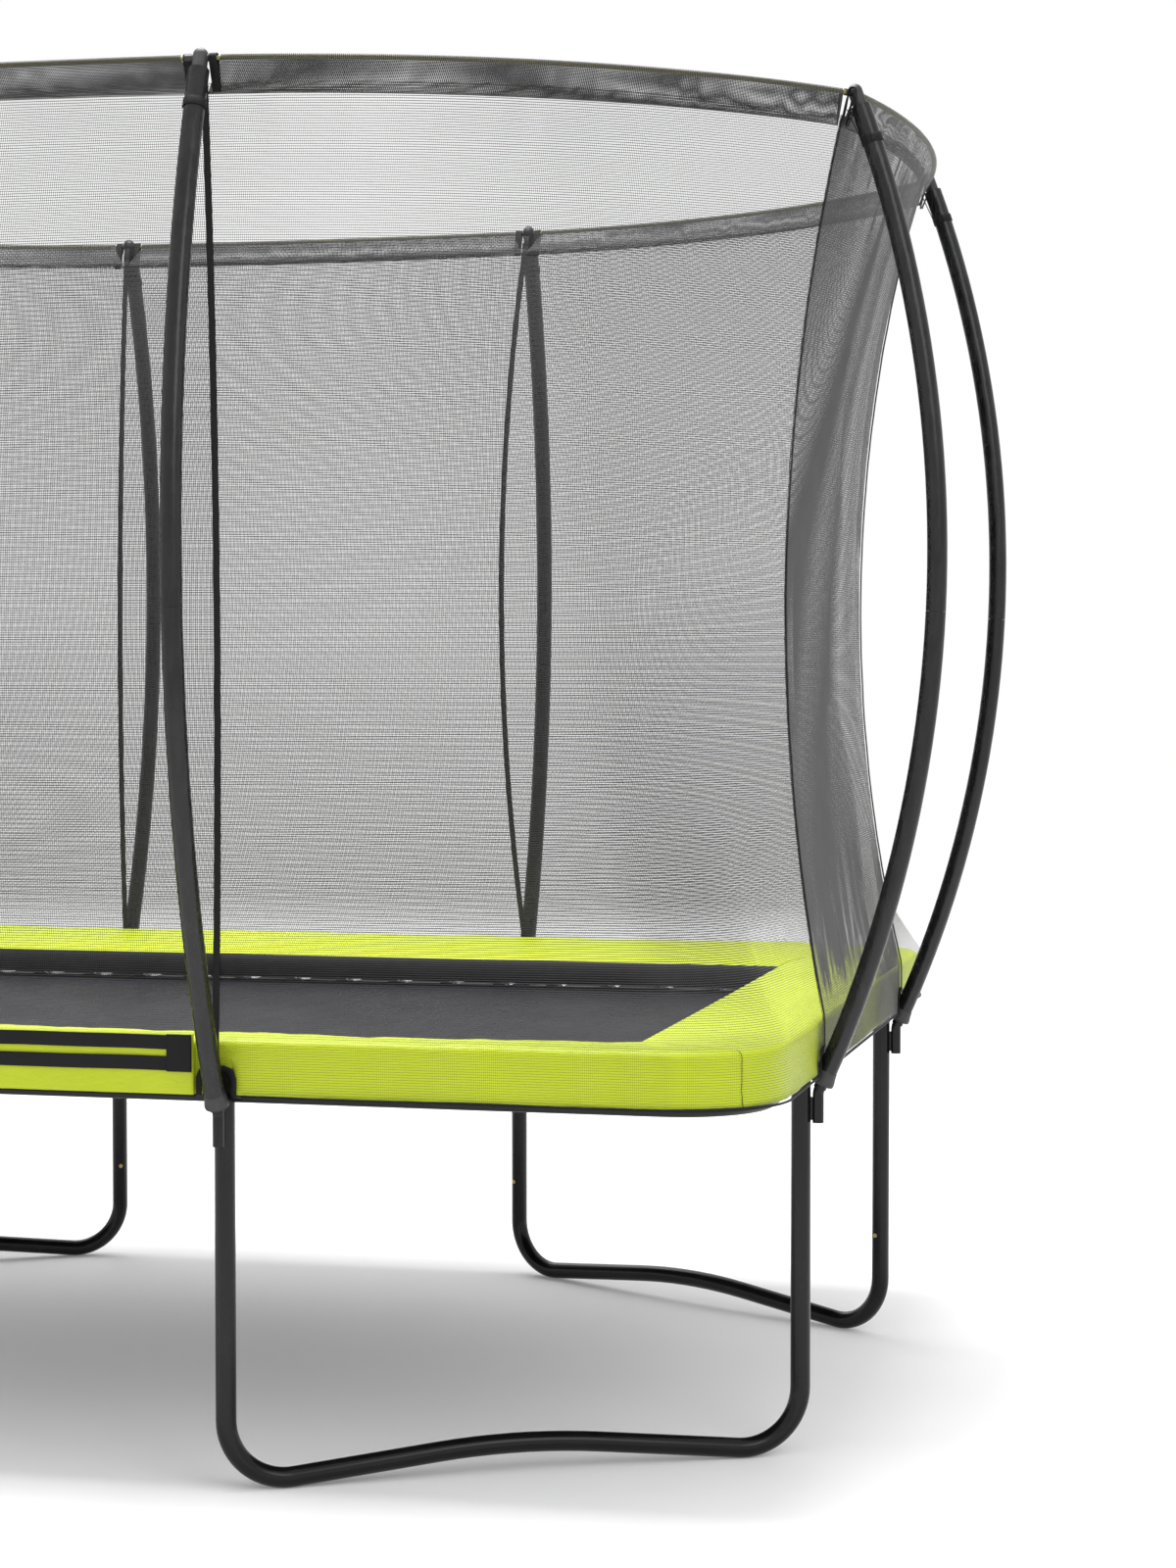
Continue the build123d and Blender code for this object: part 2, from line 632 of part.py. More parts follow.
def net_shares(first, second):
    """Shares of the net's foot line, between two posts, where the net has its columns."""
    if rise_between(first, second) != CORNER_RISE:
        return [step / NET_COLUMNS for step in range(NET_COLUMNS + 1)]
    runs = [edge.length for edge in foot_line(first, second).edges()]
    bend_start = runs[0] / sum(runs)
    bend_end = (runs[0] + runs[1]) / sum(runs)
    half = NET_COLUMNS // 2
    shares = [bend_start * step / half for step in range(half)]
    for step in range(NET_BEND_COLUMNS):
        shares.append(bend_start + (bend_end - bend_start) * step / NET_BEND_COLUMNS)
    shares += [bend_end + (1 - bend_end) * step / half for step in range(half + 1)]
    return shares


def net_section(first, second, t):
    """The net's middle line between two straps at one height, as a row of points."""
    start = strap_point(first, t)
    end = strap_point(second, t)
    foot = foot_line(first, second)
    head_start = strap_point(first, 1)
    head_end = strap_point(second, 1)
    head_rise = rise_between(first, second) + NET_HEAD_INSET
    head_middle = (head_start + head_end) / 2 + outward_normal(head_start, head_end) * head_rise
    head = ThreePointArc(head_start, head_middle, head_end)
    foot_weight = sinh(NET_DECAY * (1 - t)) / sinh(NET_DECAY)
    head_weight = sinh(NET_DECAY * t) / sinh(NET_DECAY)
    points = []
    for s in net_shares(first, second):
        foot_bow = foot @ s - (foot @ 0 + (foot @ 1 - foot @ 0) * s)
        head_bow = head @ s - (head @ 0 + (head @ 1 - head @ 0) * s)
        points.append(start + (end - start) * s + foot_bow * foot_weight + head_bow * head_weight)
    points[0] += (points[1] - points[0]).normalized() * NET_SEAM
    points[-1] += (points[-2] - points[-1]).normalized() * NET_SEAM
    return points


def net_panel(first, second):
    """Net between two straps, from the skirt's lower edge up to the ring."""
    inward = -outward_normal(strap_point(first, 0), strap_point(second, 0)) * NET_THICKNESS
    levels = [(NET_BOTTOM_Z, 0), (FLAP_TOP_Z, 0)]
    for step in range(1, NET_LEVELS + 1):
        t = step / NET_LEVELS
        levels.append((FLAP_TOP_Z + (NET_TOP_Z - FLAP_TOP_Z) * t, t))
    sections = []
    for z, t in levels:
        outer = [point + Vector(0, 0, z) for point in net_section(first, second, t)]
        inner = [point + inward for point in outer]
        outline = Polyline(*outer, *reversed(inner), close=True)
        sections.append(make_face(outline))
    panel = loft(sections, ruled=True)
    for name in (first, second):
        notch_height = NOTCH_TOP_Z - NET_BOTTOM_Z + 2
        notch = Pos(NET_FOOT, NET_BOTTOM_Z - 1 + notch_height / 2) * Rectangle(NOTCH_DEPTH, notch_height)
        panel -= extrude(post_plane(name) * notch, NOTCH_WIDTH / 2, both=True)
    return panel


def net_strap(name):
    """Vertical webbing strap on the outside of the net at a post."""
    _, (dx, dy) = POSTS[name]
    outward = Vector(dx, dy, 0)
    across = Vector(-dy, dx, 0) * (STRAP_WIDTH / 2)
    sections = []
    for step in range(NET_LEVELS + 1):
        t = step / NET_LEVELS
        z = FLAP_TOP_Z + (NET_TOP_Z - FLAP_TOP_Z) * t
        back = strap_point(name, t) + Vector(0, 0, z) + outward * (NET_THICKNESS + STRAP_CLEARANCE)
        front = back + outward * STRAP_THICKNESS
        outline = Polyline(back - across, back + across, front + across, front - across, close=True)
        sections.append(make_face(outline))
    return loft(sections, ruled=True)


# ---- entrance zip ---------------------------------------------------------------------


def zip_slider():
    """Cast slider of the entrance zip, with its pull tab, at the closed lower end."""
    t = (ZIP_BOTTOM_Z - FLAP_TOP_Z) / (NET_TOP_Z - FLAP_TOP_Z)
    row = net_section("front_left", "front_right", t)
    net_y = row[NET_COLUMNS // 2].Y
    body = Box(SLIDER_WIDTH, SLIDER_DEPTH, SLIDER_HEIGHT)
    body = fillet(body.edges().filter_by(Axis.Y), SLIDER_WIDTH / 4)
    tab = Pos(0, -(SLIDER_DEPTH + TAB_THICKNESS) / 2, -TAB_LENGTH / 2) * Box(
        TAB_WIDTH, TAB_THICKNESS, TAB_LENGTH
    )
    tab = fillet(tab.edges().filter_by(Axis.Y), TAB_WIDTH / 3)
    y = net_y - NET_THICKNESS - ZIP_CLEARANCE - SLIDER_DEPTH / 2
    return Pos(0, y, ZIP_BOTTOM_Z) * (body + tab)


# ---- write every sub-part -------------------------------------------------------------


def build():
    """Make every sub-part and write it to the parts folder."""
    os.makedirs("parts", exist_ok=True)
    names = list(POSTS)
    neighbours = list(zip(names, names[1:] + names[:1]))

    leg = floor_leg()
    bent_rail = corner_rail()
    for corner, (sx, sy) in CORNERS.items():
        save(mirrored(leg, sx, sy), f"leg_floor_{corner}")
        save(mirrored(bent_rail, sx, sy), f"rail_corner_{corner}")
    for side, sign in (("front", -1), ("back", 1)):
        middle = Vector(0, sign * FRAME_HALF_WIDTH, RAIL_Z)
        save(straight_rail(middle, Vector(1, 0, 0), LONG_POST_X), f"rail_{side}")
    for side, sign in (("left", -1), ("right", 1)):
        middle = Vector(sign * FRAME_HALF_LENGTH, 0, RAIL_Z)
        save(straight_rail(middle, Vector(0, 1, 0), SHORT_POST_Y), f"rail_{side}")
    for name in names:
        save(upper_leg(name), f"leg_upper_{name}")
        save(tee(name), f"socket_{name}")
        save(sleeve(name, SLEEVE_FOOT_Z, POLE_JOINT_Z - SLEEVE_GAP), f"sleeve_lower_{name}")
        save(sleeve(name, POLE_JOINT_Z + SLEEVE_GAP, POLE_TOP_Z - 1), f"sleeve_upper_{name}")
    save([half for name in names for half in pole_steel(name)], "pole_tubes")
    save([screw(point, direction) for point, direction in screw_sites()], "screws")

    arms = {name: [] for name in names}
    for first, second in neighbours:
        arc = ring_arc(first, second)
        arms[first].append(arc % 0)
        arms[second].append(-(arc % 1))
    save([pole_cap(name, arms[name]) for name in names], "pole_caps")
    save([ring_rod(first, second) for first, second in neighbours], "ring_rods")

    save(mat(), "mat")
    save(at_springs(v_ring()), "mat_rings")
    save(at_springs(spring()), "springs")

    ring = pad_ring()
    right = ring & pad_sector("right")
    back = ring & pad_sector("back")
    save(right, "pad_right")
    save(mirror(right, Plane.YZ), "pad_left")
    save(back, "pad_back")
    save(mirror(back, Plane.XZ), "pad_front")
    save(entrance_flap(), "entrance_flap")

    save([net_panel(first, second) for first, second in neighbours], "net")
    save([net_strap(name) for name in names], "net_straps")
    save(zip_slider(), "zip_slider")


build()
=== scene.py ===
"""Backyard trampoline: soft goods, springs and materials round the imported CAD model.

Lengths are metres. +Z is up, +X runs along the long side, the entrance is on the -Y side.
"""

import json
from math import asin, copysign, cos, hypot, pi, sin, sinh, sqrt

import bpy
import numpy as np
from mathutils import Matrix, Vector, noise


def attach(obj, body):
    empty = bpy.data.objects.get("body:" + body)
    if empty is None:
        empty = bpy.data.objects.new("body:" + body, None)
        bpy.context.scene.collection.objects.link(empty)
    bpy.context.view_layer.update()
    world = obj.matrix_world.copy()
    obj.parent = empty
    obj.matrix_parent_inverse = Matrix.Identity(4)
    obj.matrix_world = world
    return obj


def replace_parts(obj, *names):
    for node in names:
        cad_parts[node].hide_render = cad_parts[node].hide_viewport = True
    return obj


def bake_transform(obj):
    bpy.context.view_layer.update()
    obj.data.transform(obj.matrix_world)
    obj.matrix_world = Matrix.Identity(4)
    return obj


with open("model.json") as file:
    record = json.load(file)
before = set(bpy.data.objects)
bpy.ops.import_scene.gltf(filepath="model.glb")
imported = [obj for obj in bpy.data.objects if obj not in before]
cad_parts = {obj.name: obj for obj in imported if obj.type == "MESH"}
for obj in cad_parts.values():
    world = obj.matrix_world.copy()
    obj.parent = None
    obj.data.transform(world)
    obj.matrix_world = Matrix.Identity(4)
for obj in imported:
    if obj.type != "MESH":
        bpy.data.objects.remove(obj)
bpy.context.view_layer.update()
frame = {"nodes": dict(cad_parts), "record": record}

# ---- dimensions, as in the CAD ----

HALF_LENGTH = 1.506  # rail centre line of the short sides
HALF_WIDTH = 1.055  # rail centre line of the long sides
RAIL_Z = 0.735
POSTS = {
    "front_right": ((0.530, -HALF_WIDTH), (0, -1)),
    "right_front": ((HALF_LENGTH, -0.543), (1, 0)),
    "right_back": ((HALF_LENGTH, 0.543), (1, 0)),
    "back_right": ((0.530, HALF_WIDTH), (0, 1)),
    "back_left": ((-0.530, HALF_WIDTH), (0, 1)),
    "left_back": ((-HALF_LENGTH, 0.543), (-1, 0)),
    "left_front": ((-HALF_LENGTH, -0.543), (-1, 0)),
    "front_left": ((-0.530, -HALF_WIDTH), (0, -1)),
}
POLE_RADIUS = 2.450
POLE_APEX = 0.256
POLE_APEX_Z = 1.720
SLEEVE_RADIUS = 0.019
SLEEVE_FOOT_Z = 0.713

RING_Z = 2.583
LONG_RISE = 0.020
SHORT_RISE = 0.060
CORNER_RISE = 0.125

NET_TOP_Z = 2.575
NET_BOTTOM_Z = 0.730
NET_FOOT_Z = 0.842
NET_FOOT = 0.042
NET_GATHER = 0.120
NET_HEAD_INSET = 0.020
NET_DECAY = 3.0
NET_THICKNESS = 0.0014
FOOT_ROWS = 8  # rows of a panel's mesh below the pad's top
HEAD_GATHER = 0.30  # height of the gathers under the ring
FOOT_GATHER = 0.35  # and over the pad
FOLD_DEPTH = 0.005
SAG_DEPTH = 0.006
HEM_DEPTH = 0.049
HEM_LOOP = 0.0062  # radius of the hem round the rod
HEM_PUFF = 0.0016
TIE_Z = 2.496

PAD_OPEN_X = 1.223
PAD_OPEN_Y = 0.786
PAD_OVERHANG = 0.036
PAD_CORNER = 0.196
PAD_TOP_OUTER = 0.834
PAD_TOP_INNER = 0.808
PAD_UNDER = 0.764
LIP_SEGMENTS = 5  # of a pad's section: the black inner edge
LINING_SEGMENTS = 12  # and the black underside
PAD_LIP = 0.7485  # the foam sags towards the mat at the opening
SKIRT_BOTTOM = 0.734
NOTCH_HALF = 0.028
NOTCH_TOP = 0.778
SHADE_PATCH_REACH = 0.026  # black patch behind each notch, standing in for the pad's dark underside and painting the shade under the pad, outwards from the rail's centre line

MAT_X = 1.316
MAT_Y = 0.865
MAT_CORNER = 0.040
MAT_THICKNESS = 0.002
SPRING_SPAN = 0.160
LONG_PITCH = 0.1325
SHORT_PITCH = 0.13575
RING_REACH = 0.030

FLAP_HALF = 0.488
FLAP_Y = -1.101
STRIP_HEIGHTS = (0.829, 0.790)
ZIP_LOW = 0.862
ZIP_HIGH = 2.110

CAMERA_PLACE = (2.4827, -6.3715, 1.5134)
CAMERA_LENS = 71.25  # mm
CAMERA_TILT = 0.03874  # downwards, in radians
CAMERA_TURN = 0.23489  # to the left, in radians

# ---- materials ----


class Nodes:
    """A material's node tree, with short calls for the nodes used here."""

    def __init__(self, name):
        self.material = bpy.data.materials.new(name)
        self.material.use_nodes = True
        self.tree = self.material.node_tree
        self.shader = self.tree.nodes["Principled BSDF"]
        self.output = self.tree.nodes["Material Output"]

    def add(self, kind, inputs=None, **settings):
        node = self.tree.nodes.new(kind)
        for key, value in settings.items():
            setattr(node, key, value)
        for key, value in (inputs or {}).items():
            self.feed(node.inputs[key], value)
        return node

    def feed(self, socket, value):
        if isinstance(value, bpy.types.NodeSocket):
            self.tree.links.new(value, socket)
        else:
            socket.default_value = value

    def math(self, operation, first, second=0.0):
        node = self.add("ShaderNodeMath", {0: first, 1: second}, operation=operation)
        return node.outputs[0]

    def place(self, kind="Object", scale=(1, 1, 1)):
        source = self.add("ShaderNodeTexCoord").outputs[kind]
        return self.add("ShaderNodeMapping", {"Vector": source, "Scale": scale}).outputs[0]

    def noise(self, vector, scale, detail=3.0, roughness=0.55):
        inputs = {"Vector": vector, "Scale": scale, "Detail": detail, "Roughness": roughness}
        return self.add("ShaderNodeTexNoise", inputs).outputs["Fac"]

    def ramp(self, value, low, high, start=0.3, end=0.7):
        node = self.add("ShaderNodeValToRGB", {"Fac": value})
        node.color_ramp.elements[0].position = start
        node.color_ramp.elements[0].color = (*low, 1)
        node.color_ramp.elements[1].position = end
        node.color_ramp.elements[1].color = (*high, 1)
        return node.outputs["Color"]

    def span(self, value, low, high):
        node = self.add("ShaderNodeMapRange", {"Value": value, "To Min": low, "To Max": high})
        return node.outputs["Result"]

    def rise(self, value, start, end, low, high):
        """low below start, high above end, and a straight rise between."""
        limits = {"From Min": start, "From Max": end, "To Min": low, "To Max": high}
        return self.add("ShaderNodeMapRange", {"Value": value, **limits}).outputs["Result"]

    def bump(self, height, strength, distance, base=None):
        inputs = {"Height": height, "Strength": strength, "Distance": distance}
        if base is not None:
            inputs["Normal"] = base
        return self.add("ShaderNodeBump", inputs).outputs["Normal"]

    def finish(self, **inputs):
        for key, value in inputs.items():
            self.feed(self.shader.inputs[key.replace("_", " ")], value)
        return self.material


def powder_coat():
    """Gloss black powder coat: faint orange peel, dusty smudges here and there."""
    nodes = Nodes("gloss_black_powder_coat")
    where = nodes.place()
    peel = nodes.noise(where, 420.0, 2.0)
    smudge = nodes.noise(where, 9.0, 4.0)
    colour = nodes.ramp(smudge, (0.0035, 0.0035, 0.004), (0.008, 0.008, 0.009))
    rough = nodes.span(smudge, 0.16, 0.30)
    normal = nodes.bump(peel, 0.10, 0.0005)
    return nodes.finish(Base_Color=colour, Roughness=rough, Normal=normal, Specular_IOR_Level=0.24)


def sleeve_vinyl():
    """Shiny black vinyl skin over foam, with lengthwise stretch marks and soft dents."""
    nodes = Nodes("black_vinyl_sleeve")
    where = nodes.place(scale=(1, 1, 0.25))
    dents = nodes.noise(where, 55.0, 3.0)
    grain = nodes.noise(nodes.place(), 900.0, 2.0)
    colour = nodes.ramp(dents, (0.004, 0.004, 0.0045), (0.012, 0.012, 0.013))
    rough = nodes.span(dents, 0.18, 0.36)
    soft = nodes.bump(dents, 0.30, 0.004)
    normal = nodes.bump(grain, 0.10, 0.0004, soft)
    return nodes.finish(Base_Color=colour, Roughness=rough, Normal=normal, Specular_IOR_Level=0.34)


def moulded_plastic():
    """Matte black moulded plastic."""
    nodes = Nodes("moulded_black_plastic")
    where = nodes.place()
    grain = nodes.noise(where, 1400.0, 2.0)
    cloud = nodes.noise(where, 40.0, 3.0)
    colour = nodes.ramp(cloud, (0.012, 0.012, 0.012), (0.024, 0.024, 0.024))
    rough = nodes.span(cloud, 0.42, 0.60)
    return nodes.finish(Base_Color=colour, Roughness=rough, Normal=nodes.bump(grain, 0.2, 0.0004))


def glass_fibre():
    """Pultruded rod: olive resin with lengthwise fibres."""
    nodes = Nodes("olive_glass_fibre")
    fibres = nodes.noise(nodes.place(scale=(1, 1, 6)), 260.0, 4.0)
    colour = nodes.ramp(fibres, (0.16, 0.15, 0.035), (0.34, 0.31, 0.09))
    normal = nodes.bump(fibres, 0.15, 0.0004)
    return nodes.finish(Base_Color=colour, Roughness=nodes.span(fibres, 0.28, 0.45), Normal=normal)


def zinc():
    """Bright zinc plate with spangle and dull patches."""
    nodes = Nodes("zinc_plate")
    where = nodes.place()
    patches = nodes.noise(where, 130.0, 3.0)
    fine = nodes.noise(where, 1500.0, 2.0)
    colour = nodes.ramp(patches, (0.48, 0.49, 0.51), (0.70, 0.71, 0.73))
    rough = nodes.span(patches, 0.26, 0.46)
    return nodes.finish(
        Base_Color=colour, Metallic=1.0, Roughness=rough, Normal=nodes.bump(fine, 0.1, 0.0003)
    )


def yellow_zinc():
    """Yellow-passivated screw steel."""
    nodes = Nodes("yellow_passivated_steel")
    where = nodes.place()
    patches = nodes.noise(where, 300.0, 3.0)
    colour = nodes.ramp(patches, (0.42, 0.30, 0.10), (0.66, 0.52, 0.24))
    rough = nodes.span(patches, 0.25, 0.45)
    normal = nodes.bump(patches, 0.1, 0.0003)
    return nodes.finish(Base_Color=colour, Metallic=1.0, Roughness=rough, Normal=normal)


def zip_lacquer():
    """Black lacquered die-cast zip slider, worn in random spots."""
    nodes = Nodes("black_zip_lacquer")
    where = nodes.place()
    wear = nodes.noise(where, 500.0, 4.0)
    colour = nodes.ramp(wear, (0.02, 0.02, 0.02), (0.22, 0.22, 0.23), 0.55, 0.8)
    rough = nodes.span(wear, 0.30, 0.5)
    normal = nodes.bump(wear, 0.15, 0.0003)
    return nodes.finish(Base_Color=colour, Metallic=0.8, Roughness=rough, Normal=normal)


def lime_vinyl(name, low, high):
    """Lime vinyl-coated pad cover: scrim weave under the coating, soft dents, mild fading."""
    nodes = Nodes(name)
    where = nodes.place()
    cloud = nodes.noise(where, 3.2, 5.0)
    creases = nodes.noise(nodes.place(scale=(1, 1, 2.2)), 26.0, 4.0, 0.6)
    scrim_x = nodes.add("ShaderNodeTexWave", {"Vector": where, "Scale": 260.0})
    scrim_y = nodes.add(
        "ShaderNodeTexWave", {"Vector": where, "Scale": 260.0}, bands_direction="Y"
    )
    scrim = nodes.math("ADD", scrim_x.outputs["Fac"], scrim_y.outputs["Fac"])
    colour = nodes.ramp(cloud, low, high, 0.25, 0.75)
    soft = nodes.bump(creases, 0.32, 0.012)
    normal = nodes.bump(scrim, 0.10, 0.0004, soft)
    rough = nodes.span(creases, 0.34, 0.52)
    return nodes.finish(Base_Color=colour, Roughness=rough, Normal=normal, Specular_IOR_Level=0.35)


def thread_mask(nodes, along, pitch, duty, waver):
    """1 on a thread and 0 between threads, from one running coordinate."""
    shifted = nodes.math("ADD", along, waver)
    cell = nodes.math("FRACT", nodes.math("DIVIDE", shifted, pitch))
    return nodes.math("LESS_THAN", cell, duty)


def netting(name, pitch, duties, shade, gathered=1.0, slack_from=9.0):
    """Knitted polyester net: strong level rows tied by finer upright threads, clear between.

    The threads thin out where the net is stretched over the pad, but not behind slack_from
    (m along Y). The lower part of a gathered net is denser by that factor.
    """
    nodes = Nodes(name)
    uv = nodes.add("ShaderNodeTexCoord").outputs["UV"]
    parts = nodes.add("ShaderNodeSeparateXYZ", {"Vector": uv})
    place = nodes.add("ShaderNodeSeparateXYZ", {"Vector": nodes.place()})
    height, depth = place.outputs["Z"], place.outputs["Y"]
    stretch = nodes.rise(height, 0.85, 0.93, 0.42, 1.0)
    stretch = nodes.math("MAXIMUM", stretch, nodes.rise(depth, slack_from, slack_from + 0.25, 0, 1))
    stretch = nodes.math("MULTIPLY", stretch, nodes.rise(height, 1.0, 2.2, gathered, 1.0))
    drift = nodes.noise(uv, 14.0, 2.0)
    waver = nodes.span(drift, -0.0002, 0.0002)
    widths = [nodes.math("MULTIPLY", stretch, duty) for duty in duties]
    rows = thread_mask(nodes, parts.outputs["Y"], pitch, widths[0], waver)
    uprights = thread_mask(nodes, parts.outputs["X"], pitch * 0.8, widths[1], waver)
    threads = nodes.math("MAXIMUM", rows, uprights)
    colour = nodes.ramp(drift, shade, tuple(1.5 * level for level in shade))
    nodes.finish(Base_Color=colour, Roughness=nodes.span(drift, 0.55, 0.75), Sheen_Weight=0.15)
    clear = nodes.add("ShaderNodeBsdfTransparent")
    mix = nodes.add("ShaderNodeMixShader", {0: threads, 1: clear.outputs[0]})
    nodes.tree.links.new(nodes.shader.outputs[0], mix.inputs[2])
    nodes.tree.links.new(mix.outputs[0], nodes.output.inputs["Surface"])
    return nodes.material


def webbing_fabric():
    """Black polypropylene webbing with a herringbone of ribs."""
    nodes = Nodes("black_webbing")
    uv = nodes.place("UV")
    ribs = nodes.add(
        "ShaderNodeTexWave",
        {"Vector": uv, "Scale": 210.0, "Distortion": 0.6},
        bands_direction="Y",
    ).outputs["Fac"]
    cords = nodes.add("ShaderNodeTexWave", {"Vector": uv, "Scale": 330.0}).outputs["Fac"]
    weave = nodes.math("MULTIPLY", ribs, cords)
    colour = nodes.ramp(weave, (0.003, 0.003, 0.0035), (0.012, 0.012, 0.013), 0.1, 0.9)
    normal = nodes.bump(weave, 0.5, 0.0008)
    rough = nodes.span(weave, 0.5, 0.7)
    return nodes.finish(Base_Color=colour, Roughness=rough, Normal=normal, Specular_IOR_Level=0.18)


def mat_fabric():
    """Woven polypropylene jumping mat: tight tape weave, slightly violet black, scuffed."""
    nodes = Nodes("woven_mat")
    where = nodes.place()
    warp = nodes.add("ShaderNodeTexWave", {"Vector": where, "Scale": 160.0}).outputs["Fac"]
    weft = nodes.add(
        "ShaderNodeTexWave", {"Vector": where, "Scale": 160.0}, bands_direction="Y"
    ).outputs["Fac"]
    weave = nodes.math("MULTIPLY", warp, weft)
    scuff = nodes.noise(where, 4.5, 6.0, 0.65)
    colour = nodes.ramp(scuff, (0.014, 0.0135, 0.017), (0.028, 0.027, 0.033))
    normal = nodes.bump(weave, 0.6, 0.0008)
    rough = nodes.span(weave, 0.40, 0.62)
    return nodes.finish(Base_Color=colour, Roughness=rough, Normal=normal, Specular_IOR_Level=0.12)


def pad_lining():
    """Black coated cloth under the pads and round their inner edge."""
    nodes = Nodes("black_pad_lining")
    where = nodes.place()
    cloud = nodes.noise(where, 24.0, 4.0)
    grain = nodes.noise(where, 700.0, 2.0)
    colour = nodes.ramp(cloud, (0.006, 0.006, 0.007), (0.014, 0.014, 0.015))
    rough = nodes.span(cloud, 0.5, 0.7)
    normal = nodes.bump(grain, 0.2, 0.0005)
    return nodes.finish(Base_Color=colour, Roughness=rough, Normal=normal, Specular_IOR_Level=0.2)


def floor_paper():
    """Pale studio floor."""
    nodes = Nodes("studio_floor")
    fleck = nodes.noise(nodes.place(), 6.0, 2.0)
    colour = nodes.ramp(fleck, (0.90, 0.90, 0.90), (0.92, 0.92, 0.92))
    nodes.shader.inputs["Emission Color"].default_value = (1, 1, 1, 1)
    return nodes.finish(Base_Color=colour, Roughness=0.9, Specular_IOR_Level=0.1, Emission_Strength=0.10)


POWDER = powder_coat()
SLEEVE = sleeve_vinyl()
PLASTIC = moulded_plastic()
GLASS_FIBRE = glass_fibre()
ZINC = zinc()
SCREW = yellow_zinc()
SLIDER = zip_lacquer()
LIME = lime_vinyl("lime_coated_vinyl", (0.50, 0.61, 0.006), (0.57, 0.68, 0.012))
# The flap's lime is the pads' vinyl in a darker copy: painted shade on the flap, which stands outside the
# net.
SHADED_FLAP_LIME = lime_vinyl("lime_vinyl_darkened_as_painted_shade", (0.36, 0.43, 0.005), (0.41, 0.49, 0.009))
NET = netting("safety_net_mesh", 0.0045, (0.175, 0.115), (0.014, 0.014, 0.015))
END_NET = netting("end_net_mesh", 0.0045, (0.26, 0.29), (0.009, 0.009, 0.010), 1.35, 0.05)
HEM = netting("hem_mesh", 0.0034, (0.47, 0.36), (0.016, 0.016, 0.017))
WEBBING = webbing_fabric()
LINING = pad_lining()
MAT = mat_fabric()

SLOT_MATERIALS = {
    "black_tube": POWDER,
    "pole_sleeve": SLEEVE,
    "cap_plastic": PLASTIC,
    "glass_fibre": GLASS_FIBRE,
    "zinc_steel": ZINC,
    "brass_screw": SCREW,
    "zip_metal": SLIDER,
}

# ---- meshes from rows of points ----


def running(points, axis):
    """Length along an array of points, from the start of the given axis."""
    steps = np.linalg.norm(np.diff(points, axis=axis), axis=-1)
    start = np.zeros_like(np.take(steps, [0], axis=axis))
    return np.concatenate([start, np.cumsum(steps, axis=axis)], axis=axis)


def make_object(name, points, faces, face_uvs, material, body):
    """Mesh object of points and faces, riding on a body, with its UVs in metres."""
    mesh = bpy.data.meshes.new(name)
    mesh.from_pydata([tuple(map(float, point)) for point in points], [], faces)
    layer = mesh.uv_layers.new(name="metres")
    flat = [value for corners in face_uvs for corner in corners for value in corner]
    layer.data.foreach_set("uv", flat)
    mesh.polygons.foreach_set("use_smooth", [True] * len(mesh.polygons))
    mesh.materials.append(material)
    mesh.update()
    obj = bpy.data.objects.new(name, mesh)
    bpy.context.scene.collection.objects.link(obj)
    if body:
        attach(obj, body)
    return obj


def skin_faces(rows, loops=False, first=0):
    """Faces and UVs of a closed tube through rows of section points, capped unless it loops."""
    count, size = rows.shape[:2]
    closed = np.concatenate([rows, rows[:, :1]], axis=1)
    across = running(closed, 1).mean(0)
    along = running(rows, 0).mean(1)
    faces, uvs = [], []
    spans = count if loops else count - 1
    for i in range(spans):
        far = (i + 1) % count
        top = along[i + 1] if i + 1 < count else along[-1] + (along[-1] - along[-2])
        for j in range(size):
            side = (j + 1) % size
            corners = [(i, j), (i, side), (far, side), (far, j)]
            faces.append([first + a * size + b for a, b in corners])
            u0, u1 = across[j], across[j + 1]
            uvs.append([(u0, along[i]), (u1, along[i]), (u1, top), (u0, top)])
    if not loops:
        faces.append([first + j for j in reversed(range(size))])
        faces.append([first + (count - 1) * size + j for j in range(size)])
        uvs.append([(across[j], along[0]) for j in reversed(range(size))])
        uvs.append([(across[j], along[-1]) for j in range(size)])
    return faces, uvs


def skins(name, tubes, material, body, loops=False):
    """One object of several closed tubes."""
    points, faces, uvs = [], [], []
    for rows in tubes:
        new_faces, new_uvs = skin_faces(rows, loops, len(points))
        points.extend(rows.reshape(-1, 3))
        faces.extend(new_faces)
        uvs.extend(new_uvs)
    return make_object(name, points, faces, uvs, material, body)


def webbing(name, bands, body="frame"):
    """One object of several webbing bands."""
    return skins(name, bands, WEBBING, body)


